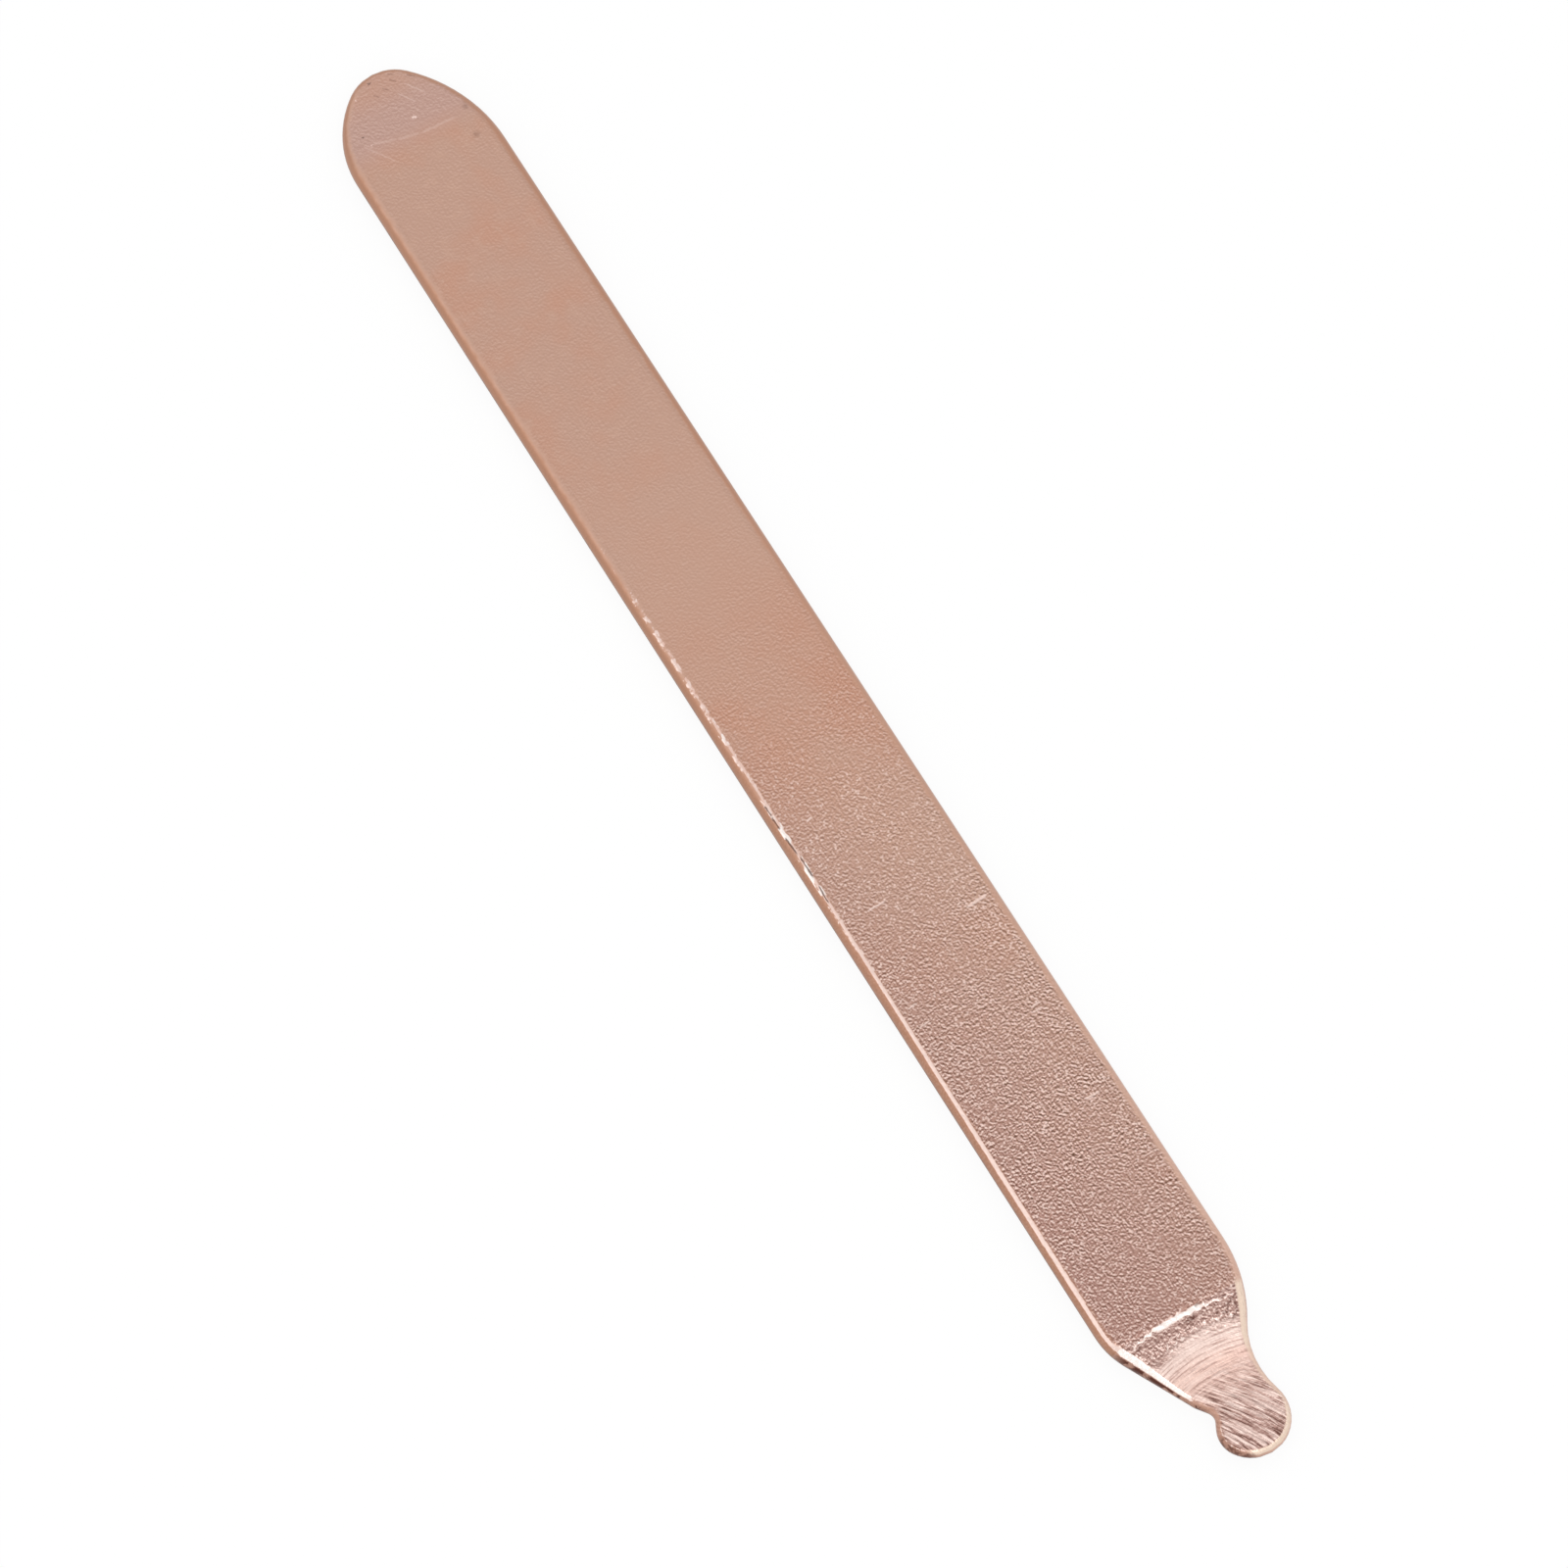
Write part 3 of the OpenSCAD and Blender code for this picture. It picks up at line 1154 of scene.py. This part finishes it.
@dataclass(frozen=True)
class Groove:
    """A line that a tool pressed into the top face."""

    path: tuple[Spot, ...]
    width: float
    depth: float
    # The two strengths below paint a bright line along the groove, partly abrasion and partly a painted
    # highlight, and painted shade along it.
    worn: float = 0.0
    scored: float = 0.0
    wander: float = 0.0
    broken: float = 0.0
    reach: float = 4.0
    wandering: tuple[Pattern, ...] = (Pattern((2.6, 2.6), 3.0), Pattern((2.6, 2.6), 8.0))
    gaps: Pattern = Pattern((2.2, 2.2), 13.0)
    gap_size: float = 2.4
    gap_level: float = 0.1

    def strength(self, places: np.ndarray) -> np.ndarray:
        """Measures how strongly the groove works at each place.

        Args:
            places: the points of the skin, in millimetres.

        Returns:
            A number from 0 to 1 for each point.
        """
        low = np.min(self.path, axis=0) - self.reach * self.width - self.wander
        high = np.max(self.path, axis=0) + self.reach * self.width + self.wander
        near = np.nonzero(np.all((places[:, :2] > low) & (places[:, :2] < high), axis=1))[0]
        result = np.zeros(len(places))
        spots = places[near, :2].copy()
        for side, pattern in enumerate(self.wandering):
            spots[:, side] += self.wander * pattern.at(spots)
        away = np.full(len(near), math.inf)
        for first, second in zip(self.path, self.path[1:]):
            a, b = np.array(first), np.array(second)
            t = np.clip(((spots - a) @ (b - a)) / ((b - a) @ (b - a)), 0, 1)
            away = np.minimum(away, np.linalg.norm(spots - a - t[:, None] * (b - a), axis=1))
        force = np.exp(-((away / self.width) ** 2))
        if self.broken:
            force *= np.clip(1 + self.broken * self.gap_size * (self.gaps.at(spots) - self.gap_level), 0, 1)
        result[near] = force
        return result


@dataclass
class PressedTube:
    """The sealed tube: one piece of copper, spun shut at the nose and crimped at the stub."""

    node: str = "heat_pipe"
    body: str = "root"
    finish_slot: str = "copper"
    half_width: float = 5.712
    middle_height: float = 0.8
    crease: float = 50.9
    weld: float = 1e-7
    flatness: float = 0.05
    facing_up: float = 0.9
    least_cell: float = 0.02
    least_force: float = 0.003
    flat_lean: Spot = (0.12, 0.1)
    stretches: tuple[Stretch, ...] = (
        Stretch(-62.2, -50.0, 0.22, 0.22),
        Stretch(-50.0, 0.0, 0.6, 0.6),
        Stretch(0.0, 47.0, 0.35, 0.4),
        Stretch(47.0, 62.2, 0.08, 0.08),
    )
    rolling: Pattern = Pattern((0.12, 0.22), 1.0)
    rolling_depth: float = 0.02
    jaw_start: Spot = (52.2, 0.4)
    jaw_ridges: tuple[Pattern, ...] = (Pattern((4.4, 0.3), 2.0), Pattern((7.0, 0.7), 3.0, strength=0.35))
    jaw_cut: Spot = (0.35, 0.6)
    jaw_share: float = 0.24
    file_start: Spot = (55.2, 1.3)
    file_fray: Pattern = Pattern((1.2, 1.2), 21.0, strength=0.5)
    file_lines: tuple[Pattern, ...] = (
        Pattern((0.5, 3.4), 4.0, TOOLS.file_turn, 0.15),
        Pattern((0.6, 5.2), 5.0, TOOLS.file_turn, 0.9),
    )
    file_cut: Spot = (0.5, 1.05)
    file_share: float = 0.5
    cut_depth: float = 0.05
    uncut: float = 0.48
    scuffed_side: Spot = (-1.5, 0.8)
    scuffed_lean: Spot = (0.215, 0.06)
    scuffed_along: tuple[Spot, ...] = (
        (-62.2, 0.0),
        (-30.0, 0.1),
        (-8.0, 0.3),
        (0.0, 0.55),
        (14.0, 0.75),
        (40.0, 1.0),
    )
    scuffs: tuple[Pattern, ...] = (Pattern((1.5, 1.2), 6.0), Pattern((3.9, 2.0), 7.0, strength=0.7))
    scuff_cut: Spot = (0.4, 0.9)
    scuff_depth: float = 0.05
    grooves: tuple[Groove, ...] = ()
    piece: bpy.types.Object | None = None

    def build(self) -> None:
        """Models the tube, from the plain solid to its tool marks."""
        self.piece = self.blank()
        self.divide()
        self.read_lean()
        self.press_flats()
        self.cut_tail()
        self.scuff_edges()
        self.score_grooves()
        self.smooth()

    def blank(self) -> bpy.types.Object:
        """Copies the plain solid and joins its triangles into flat four-sided faces.

        Returns:
            The blank.
        """
        solid = bpy.data.objects[self.node]
        bpy.ops.object.select_all(action="DESELECT")
        piece = solid.copy()
        piece.data = solid.data.copy()
        piece.name = piece.data.name = "pressed_tube"
        piece.parent = None
        bpy.context.scene.collection.objects.link(piece)
        piece.select_set(True)
        bpy.context.view_layer.objects.active = piece
        bpy.ops.object.mode_set(mode="EDIT")
        bpy.ops.mesh.select_mode(type="FACE")
        bpy.ops.mesh.select_all(action="SELECT")
        bpy.ops.mesh.remove_doubles(threshold=self.weld)
        flat = math.radians(self.flatness)
        bpy.ops.mesh.tris_convert_to_quads(face_threshold=flat, shape_threshold=math.pi)
        bpy.ops.object.mode_set(mode="OBJECT")
        return piece

    def places(self) -> np.ndarray:
        """Reads the points of the skin.

        Returns:
            An array of points, in millimetres.
        """
        vertices = self.piece.data.vertices
        flat = np.empty(len(vertices) * 3)
        vertices.foreach_get("co", flat)
        return flat.reshape(-1, 3) / MM

    def cut(self, axis: Axis, at: float) -> None:
        """Cuts the faces that show with a plane.

        Args:
            axis: the direction that the plane faces.
            at: the plane's place on that axis.
        """
        bpy.ops.mesh.select_all(action="SELECT")
        normal = Vector(axis.value)
        bpy.ops.mesh.bisect(plane_co=normal * at * MM, plane_no=normal, threshold=self.weld)

    def show(self, stretch: Stretch, top_only: bool) -> None:
        """Hides every face outside a stretch, in edit mode.

        Args:
            stretch: the stretch that stays in view.
            top_only: whether only its top face stays in view.
        """
        bpy.ops.mesh.reveal(select=False)
        bpy.ops.object.mode_set(mode="OBJECT")
        polygons = self.piece.data.polygons
        centres, normals = np.empty(len(polygons) * 3), np.empty(len(polygons) * 3)
        polygons.foreach_get("center", centres)
        polygons.foreach_get("normal", normals)
        x, up = centres[0::3] / MM, normals[2::3]
        inside = (x > stretch.start) & (x < stretch.end) & ((up > self.facing_up) | (not top_only))
        polygons.foreach_set("select", ~inside)
        self.piece.data.update()
        bpy.ops.object.mode_set(mode="EDIT")
        bpy.ops.mesh.hide(unselected=False)

    def divide(self) -> None:
        """Divides the skin finely enough for its tool marks."""
        bpy.ops.object.mode_set(mode="EDIT")
        for stretch in self.stretches[1:]:
            self.cut(Axis.ALONG, stretch.start)
        self.cut(Axis.ALONG, self.crease)
        for stretch in self.stretches:
            self.show(stretch, top_only=True)
            for at in stretch.stations(stretch.across, -self.half_width, self.half_width):
                self.cut(Axis.ACROSS, at)
            self.show(stretch, top_only=False)
            for at in stretch.stations(stretch.along, stretch.start, stretch.end):
                self.cut(Axis.ALONG, at)
        bpy.ops.mesh.reveal(select=False)
        bpy.ops.mesh.select_all(action="SELECT")
        bpy.ops.mesh.remove_doubles(threshold=self.least_cell * MM)
        bpy.ops.object.mode_set(mode="OBJECT")

    def note(self, name: str, values: np.ndarray) -> None:
        """Writes a mark on the skin for the finishes to read.

        Args:
            name: what the mark is called.
            values: its strength at each point.
        """
        made = self.piece.data.attributes.new(name, "FLOAT", "POINT")
        made.data.foreach_set("value", values.astype(np.float32))

    def noted(self, name: str) -> np.ndarray:
        """Reads a mark back.

        Args:
            name: what the mark is called.

        Returns:
            Its strength at each point.
        """
        values = np.empty(len(self.piece.data.vertices), dtype=np.float32)
        self.piece.data.attributes[name].data.foreach_get("value", values)
        return values

    def read_lean(self) -> None:
        """Notes how far each point of the skin leans from straight up, from 0 to 1 at straight down."""
        normals = np.array([normal.vector[2] for normal in self.piece.data.vertex_normals])
        self.note("lean", np.degrees(np.arccos(np.clip(normals, -1, 1))) / 180)

    def sink(self, name: str, force: np.ndarray, depth: float) -> None:
        """Presses the skin inwards.

        Args:
            name: what the step is called.
            force: how strongly each point is pressed, 0 to 1.
            depth: how deep a full force goes.
        """
        group = self.piece.vertex_groups.new(name=name)
        for index in np.nonzero(force > self.least_force)[0]:
            group.add([int(index)], float(force[index]), "REPLACE")
        bpy.ops.object.modifier_add(type="DISPLACE")
        displace = self.piece.modifiers[-1]
        displace.name = name
        displace.vertex_group = name
        displace.mid_level = 0.0
        displace.strength = -depth * MM
        bpy.ops.object.modifier_apply(modifier=name)
        self.piece.vertex_groups.remove(self.piece.vertex_groups[name])

    @staticmethod
    def cutting(levels: Spot, pattern: np.ndarray) -> np.ndarray:
        """Turns a random pattern into a force from 0 to 1, by its level and its strength."""
        level, strength = levels
        return np.clip(level + strength * pattern, 0, 1)

    def upward(self) -> np.ndarray:
        """Measures how squarely each point faces up, from 0 on the edges to 1 on the top face."""
        flattest, fade = self.flat_lean
        return np.clip((flattest - self.noted("lean")) / fade, 0, 1)

    def press_flats(self) -> None:
        """Leaves the long flat very slightly uneven, as rolling does."""
        slow = self.rolling.at(self.places())
        self.sink("pressing", self.upward() * np.clip(0.5 + 0.5 * slow, 0, 1), self.rolling_depth)

    def cut_tail(self) -> None:
        """Cuts the ridges that the jaw leaves across the slope and the file lines of the stub."""
        places, up = self.places(), self.upward()
        bowed, swept = places.copy(), places.copy()
        bowed[:, 0] -= TOOLS.jaw_bow * places[:, 1] ** 2
        swept[:, 1] += TOOLS.file_sweep * (places[:, 0] - TOOLS.file_middle) ** 2
        (jaw_from, jaw_fade), (file_from, file_fade) = self.jaw_start, self.file_start
        onto = np.clip((bowed[:, 0] - jaw_from) / jaw_fade, 0, 1)
        past = np.clip((bowed[:, 0] - file_from + self.file_fray.at(places)) / file_fade, 0, 1)
        jaw = self.cutting(self.jaw_cut, sum(ridge.at(bowed) for ridge in self.jaw_ridges))
        file = self.cutting(self.file_cut, sum(line.at(swept) for line in self.file_lines))
        pressed, filed = onto * (1 - past) * jaw, past * file
        self.sink("cuts", up * (pressed * self.jaw_share + filed * self.file_share), self.cut_depth)
        rest = self.uncut * (1 - onto * up)
        self.note("cut", np.where(onto > 0, rest + onto * up * (pressed + filed), self.uncut))

    def scuff_edges(self) -> None:
        """Leaves the right-hand edge uneven where the tube was handled and set down."""
        places = self.places()
        (side, side_fade), (middle, reach) = self.scuffed_side, self.scuffed_lean
        right = np.clip((side - places[:, 1]) / side_fade, 0, 1)
        band = np.exp(-(((self.noted("lean") - middle) / reach) ** 2)) * right
        along = np.interp(places[:, 0], *zip(*self.scuffed_along))
        dents = self.cutting(self.scuff_cut, sum(scuff.at(places) for scuff in self.scuffs))
        self.sink("scuffs", band * along * dents, self.scuff_depth)

    def score_grooves(self) -> None:
        """Presses the creases and dents, and notes where they get a bright line, partly abrasion and partly a
        painted highlight, and where they get painted shade.
        """
        places, up = self.places(), self.upward()
        worn, scored, force = (np.zeros(len(places)) for _ in range(3))
        above = places[:, 2] > self.middle_height
        deepest = max(groove.depth for groove in self.grooves)
        for groove in self.grooves:
            reach = groove.strength(places) * above
            force = np.maximum(force, up * reach * groove.depth / deepest)
            worn = np.maximum(worn, reach * groove.worn)
            scored = np.maximum(scored, reach * groove.scored)
        self.sink("creases", force, deepest)
        self.note("worn", worn)
        self.note("scored", scored)

    def smooth(self) -> None:
        """Shades the skin smooth."""
        bpy.ops.object.select_all(action="DESELECT")
        self.piece.select_set(True)
        bpy.ops.object.shade_smooth()

    def dress(self, satin: SatinCopper, crimped: CrimpedCopper, effects: Effects) -> None:
        """Gives the tube its two finishes.

        Args:
            satin: the finish of the long flat.
            crimped: the finish beyond the crease.
            effects: the shared node groups.
        """
        mesh = self.piece.data
        mesh.materials.clear()
        mesh.materials.append(satin.make(effects))
        mesh.materials.append(crimped.make(effects))
        centres = np.empty(len(mesh.polygons) * 3)
        mesh.polygons.foreach_get("center", centres)
        beyond = centres[0::3] / MM > self.crease
        slots = np.where(beyond, Finish.CRIMPED.value, Finish.SATIN.value)
        mesh.polygons.foreach_set("material_index", slots)
        mesh.update()

    def hand_over(self) -> None:
        """Fixes the tube to its body in place of the plain solid."""
        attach(self.piece, self.body)
        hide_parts(self.node)


# ------------------------------------------------------------------------------------------ the studio


@dataclass(frozen=True)
class SoftBox:
    """A large soft lamp that faces the tube."""

    name: str
    leaning: Spot
    size: Spot
    brightness: float
    distance: float = 900.0

    def hang(self) -> None:
        """Hangs the lamp where it leans away from straight up, toward the stub and toward the left."""
        along, across = (math.sin(math.radians(angle)) for angle in self.leaning)
        direction = Vector((along, across, math.sqrt(max(0.0, 1.0 - along**2 - across**2))))
        data = bpy.data.lights.new(self.name, "AREA")
        data.shape = "RECTANGLE"
        data.size, data.size_y = (side * MM for side in self.size)
        data.energy = self.brightness * data.size * data.size_y * math.pi
        lamp = bpy.data.objects.new(self.name, data)
        lamp.location = direction * self.distance * MM
        lamp.rotation_mode = "QUATERNION"
        lamp.rotation_quaternion = direction.to_track_quat("Z", "Y")
        bpy.context.scene.collection.objects.link(lamp)


@dataclass(frozen=True)
class Studio:
    """A pale table under soft light."""

    ambient: float = 0.69
    table_size: float = 4000.0
    table_colour: Colour = (0.93, 0.93, 0.93)
    table_glow: float = 1.03
    shadow_share: float = 0.12
    lamps: tuple[SoftBox, ...] = (
        SoftBox("key_softbox", leaning=(32.0, -12.0), size=(520.0, 900.0), brightness=0.95),
        SoftBox("side_softbox", leaning=(-8.0, -66.0), size=(900.0, 420.0), brightness=0.35),
        SoftBox("nose_softbox", leaning=(-45.0, 12.0), size=(600.0, 900.0), brightness=0.15),
        SoftBox("left_softbox", leaning=(0.0, 64.0), size=(900.0, 420.0), brightness=0.18),
    )

    def build(self) -> None:
        """Sets up the table, the air and the lamps."""
        bpy.context.scene.view_settings.view_transform = "Standard"
        self.table()
        self.air()
        for lamp in self.lamps:
            lamp.hang()

    @staticmethod
    def shown(wiring: Wiring) -> Socket:
        """Tells the rays that show the background, directly or in the metal, from the rays that light it.

        Args:
            wiring: the wiring of the material or the world.

        Returns:
            The socket that is 1 for a ray that shows the background.
        """
        path = wiring.node("LightPath").outputs
        mirrored = wiring.most(path["Is Glossy Ray"], path["Is Transmission Ray"])
        return wiring.most(path["Is Camera Ray"], mirrored)

    def table(self) -> None:
        """Lays the table, which shows white and keeps the tube's soft shadow."""
        bpy.ops.object.select_all(action="DESELECT")
        bpy.ops.mesh.primitive_plane_add(size=self.table_size * MM, location=(0.0, 0.0, 0.0))
        floor = bpy.context.active_object
        floor.name = floor.data.name = "table"
        material = bpy.data.materials.new("table_white")
        material.use_nodes = True
        w = Wiring(material.node_tree)
        w.tree.nodes.clear()
        paper, glow, clear = w.node("BsdfDiffuse"), w.node("Emission"), w.node("BsdfTransparent")
        w.put(paper.inputs["Color"], self.table_colour)
        w.put(glow.inputs["Strength"], self.table_glow)
        seen = w.times(self.shown(w), 1.0 - self.shadow_share)
        beneath = w.node("NewGeometry").outputs["Backfacing"]
        mixed, sided = w.node("MixShader"), w.node("MixShader")
        for target, value in zip(mixed.inputs, (seen, paper.outputs[0], glow.outputs[0])):
            w.put(target, value)
        for target, value in zip(sided.inputs, (beneath, mixed.outputs[0], clear.outputs[0])):
            w.put(target, value)
        w.put(w.node("OutputMaterial").inputs["Surface"], sided.outputs[0])
        floor.data.materials.append(material)

    def air(self) -> None:
        """Lights everything softly and evenly, and shows white to the camera."""
        world = bpy.data.worlds.new("soft_room")
        bpy.context.scene.world = world
        world.use_nodes = True
        w = Wiring(world.node_tree)
        background = world.node_tree.nodes["Background"]
        w.put(background.inputs["Color"], WHITE)
        w.put(background.inputs["Strength"], w.plus(w.times(self.shown(w), 1.0 - self.ambient), self.ambient))


@dataclass(frozen=True)
class ViewCamera:
    """The camera, by the spot it looks at and the way it looks from there."""

    aim: tuple[float, float, float] = (2.859, -3.043, 1.0)
    turn: float = -30.81
    elevation: float = 68.0
    distance: float = 420.03
    lens: float = 135.04
    sensor: float = 36.0
    nearest: float = 10.0
    farthest: float = 20000.0

    def build(self) -> None:
        """Sets up the camera."""
        a, e = math.radians(self.turn), math.radians(self.elevation)
        back = Vector((math.cos(a) * math.cos(e), math.sin(a) * math.cos(e), math.sin(e)))
        data = bpy.data.cameras.new("studio_camera")
        data.lens, data.sensor_width = self.lens, self.sensor
        data.clip_start, data.clip_end = self.nearest * MM, self.farthest * MM
        camera = bpy.data.objects.new("studio_camera", data)
        camera.location = (Vector(self.aim) + back * self.distance) * MM
        camera.rotation_mode = "QUATERNION"
        camera.rotation_quaternion = (-back).to_track_quat("-Z", "Y")
        bpy.context.scene.collection.objects.link(camera)
        bpy.context.scene.camera = camera


# ------------------------------------------------------------------------------------------ the choices


def beside(path: tuple[Spot, ...], shift: float = 0.14) -> tuple[Spot, ...]:
    """Moves a path a little toward the stub."""
    return tuple((x + shift, y) for x, y in path)


def nose_grooves() -> tuple[Groove, ...]:
    """Lists the fold and the small dents of the nose, with painted highlights and painted shade in the dents.

    Returns:
        The grooves.
    """
    nose_fold = ((-55.5, 3.4), (-55.5, 1.5), (-55.6, 0.0), (-55.9, -1.0), (-56.7, -2.2), (-56.9, -4.1))
    return (
        Groove(nose_fold, width=0.2, depth=0.03, wander=0.12),
        Groove(((-57.2, 0.45), (-57.0, 0.55)), width=0.16, depth=0.03, worn=0.75),
        Groove(((-58.25, 1.75), (-58.15, 1.85)), width=0.12, depth=0.02, worn=0.5),
        Groove(((-57.9, 2.7), (-57.75, 2.78)), width=0.14, depth=0.02, worn=0.6),
        Groove(((-56.45, 2.8), (-56.4, 2.8)), width=0.12, depth=0.02, worn=0.5),
        Groove(((-60.62, -2.5), (-60.55, -2.45)), width=0.14, depth=0.02, worn=0.55),
        Groove(((-56.65, -3.3), (-56.6, -3.25)), width=0.12, depth=0.02, worn=0.5),
        Groove(((-55.95, -2.1), (-55.7, -2.0)), width=0.13, depth=0.02, worn=0.45),
        Groove(((-53.45, 3.8), (-53.38, 3.85)), width=0.15, depth=0.03, scored=0.6),
        Groove(((-55.95, 4.28), (-55.85, 4.3)), width=0.15, depth=0.03, scored=0.5),
        Groove(((-55.0, -3.2), (-53.9, -2.4)), width=0.14, depth=0.015, worn=0.3),
    )


def tail_grooves() -> tuple[Groove, ...]:
    """Lists the three folds before the pressed slope, with painted highlights along them, and the dents among
    them, with painted shade in them.

    Returns:
        The grooves.
    """
    first_fold = (
        (51.5, 3.9), (51.35, 2.6), (51.1, 1.3), (51.0, -0.4), (50.97, -1.7), (51.15, -3.3), (51.35, -3.9)
    )
    second_fold = ((52.75, 3.2), (52.5, 2.2), (52.3, 1.0), (52.2, -0.6), (52.3, -2.0), (52.6, -3.4))
    third_fold = ((53.5, 3.3), (53.1, 2.0), (52.85, 0.8), (52.85, -1.2), (53.05, -2.8))
    dark_cut = ((51.5, 0.7), (51.55, 0.3), (51.5, -0.1))
    return (
        # Grooves of no depth are only painted highlight lines along the folds.
        Groove(first_fold, width=0.11, depth=0.0, worn=0.9, wander=0.3, broken=0.45),
        Groove(beside(first_fold), width=0.19, depth=0.06, wander=0.25),
        Groove(((51.1, 1.4), (51.0, 0.2), (50.98, -1.9)), width=0.2, depth=0.0, worn=1.5, wander=0.16),
        Groove(second_fold, width=0.13, depth=0.0, worn=0.72, wander=0.5, broken=0.7),
        Groove(beside(second_fold), width=0.17, depth=0.04, wander=0.35, broken=0.6),
        Groove(third_fold, width=0.12, depth=0.015, worn=0.66, wander=0.3, broken=0.5),
        Groove(dark_cut, width=0.1, depth=0.03, scored=1.0, wander=0.3, broken=0.6),
        Groove(((50.85, 1.5), (50.9, 1.25)), width=0.09, depth=0.02, scored=0.7),
        Groove(((51.6, 4.1), (51.7, 3.8)), width=0.09, depth=0.02, scored=0.8),
        Groove(((51.75, 3.45), (52.0, 3.2)), width=0.1, depth=0.03, scored=0.9, wander=0.3),
        Groove(((51.3, 3.3), (51.4, 3.05)), width=0.08, depth=0.02, scored=0.7),
        Groove(((52.1, 3.8), (52.45, 3.55)), width=0.09, depth=0.02, scored=0.8, wander=0.3),
        Groove(((52.65, 3.35), (52.9, 3.1)), width=0.09, depth=0.02, scored=0.8, wander=0.3),
        Groove(((52.1, 3.1), (52.3, 2.85)), width=0.09, depth=0.02, scored=0.7, wander=0.3),
        Groove(((51.9, 2.5), (52.1, 2.3)), width=0.08, depth=0.02, scored=0.6, wander=0.3),
        Groove(((51.45, -3.6), (51.6, -3.8)), width=0.09, depth=0.02, scored=0.8),
        Groove(((51.75, -2.3), (51.8, -2.6)), width=0.07, depth=0.02, scored=0.55),
    )


def scratches() -> tuple[Scratch, ...]:
    """Lists the light scratches of the long flat, the faint ones of the nose, and a faint painted highlight
    along the nose fold.

    Returns:
        The scratches.
    """
    return (
        Scratch((17.75, 4.8), (17.9, 2.9), 0.26),
        Scratch((14.5, -1.6), (14.55, -3.2), 0.16),
        Scratch((6.4, -2.8), (6.5, -3.4), 0.2),
        Scratch((26.55, 3.7), (26.6, 2.9), 0.14),
        Scratch((26.95, 3.7), (27.0, 2.8), 0.14),
        Scratch((34.3, 3.9), (34.35, 2.6), 0.2),
        Scratch((22.2, -3.7), (22.3, -4.6), 0.12),
        Scratch((23.8, -3.6), (23.9, -4.6), 0.12),
        Scratch((-60.1, 1.3), (-58.4, 2.4), 0.14, 0.3),
        Scratch((-59.6, 0.4), (-58.1, 1.4), 0.12, 0.3),
        Scratch((-56.9, -4.0), (-54.3, -2.3), 0.14, 0.22),
        # These three follow the nose fold: a painted highlight on its ridge.
        Scratch((-55.5, 3.4), (-55.65, 0.2), 0.24, 0.22),
        Scratch((-55.68, 0.3), (-56.1, -1.5), 0.24, 0.2),
        Scratch((-56.1, -1.4), (-56.75, -3.4), 0.24, 0.16),
    )


def cracks() -> tuple[Scratch, ...]:
    """Lists the fine dark cracks along the right-hand edge and the dark dashes on the nose.

    Returns:
        The cracks.
    """
    return (
        Scratch((3.8, -5.26), (4.9, -5.24), 0.12, 0.8),
        Scratch((4.8, -5.28), (6.1, -5.25), 0.12, 0.8),
        Scratch((6.6, -5.26), (8.4, -5.16), 0.13, 0.85),
        Scratch((8.4, -5.11), (10.5, -5.10), 0.13, 0.85),
        Scratch((11.0, -5.12), (12.7, -5.16), 0.12, 0.8),
        Scratch((-60.6, 1.8), (-60.1, 2.35), 0.13, 0.4),
        Scratch((-60.9, 0.5), (-60.4, 0.95), 0.12, 0.4),
        Scratch((-60.5, -0.35), (-60.05, 0.1), 0.12, 0.35),
        Scratch((-60.3, -1.2), (-59.85, -0.8), 0.12, 0.35),
        Scratch((-61.4, 0.6), (-61.05, 1.1), 0.11, 0.35),
    )


def satin_copper() -> SatinCopper:
    """Chooses the finish of the long flat.

    Returns:
        The finish.
    """
    return SatinCopper(
        name="satin_copper",
        fresh=(0.488, 0.302, 0.232),
        warm=(0.512, 0.275, 0.193),
        pale=(0.411, 0.234, 0.193),
        edge=(0.447, 0.232, 0.150),
        edge_far=(0.71, 0.470, 0.374),
        deep=(0.130, 0.061, 0.041),
        polish=(0.764, 0.520, 0.439),
        bright=(0.813, 0.626, 0.561),
        white=(0.900, 0.819, 0.774),
        cream=(0.813, 0.642, 0.520),
        roughness=0.36,
        relief=0.05,
        scratches=scratches(),
        cracks=cracks(),
    )


def crimped_copper() -> CrimpedCopper:
    """Chooses the finish of the slope and the stub.

    Returns:
        The finish.
    """
    return CrimpedCopper(
        name="crimped_copper",
        fresh=(0.455, 0.280, 0.240),
        warm=(0.447, 0.276, 0.236),
        pale=(0.488, 0.309, 0.268),
        edge=(0.504, 0.285, 0.211),
        edge_far=(0.71, 0.470, 0.374),
        deep=(0.106, 0.037, 0.026),
        polish=(0.87, 0.61, 0.525),
        bright=(0.885, 0.695, 0.625),
        white=(0.97, 0.88, 0.83),
        cream=(0.813, 0.642, 0.520),
        roughness=0.3,
        relief=0.09,
    )


def main() -> None:
    """Builds the scene, in order, and reports each piece."""
    logging.basicConfig(level=logging.INFO, format="%(message)s")
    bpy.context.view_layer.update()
    tube = PressedTube(grooves=(*nose_grooves(), *tail_grooves()))
    tube.build()
    tube.dress(satin_copper(), crimped_copper(), Effects())
    tube.hand_over()
    log.info("pressed_tube: %d faces", len(tube.piece.data.polygons))
    studio = Studio()
    studio.build()
    log.info("studio: table, air and %d softboxes", len(studio.lamps))
    ViewCamera().build()
    log.info("studio_camera: set")


if __name__ == "__main__":
    main()
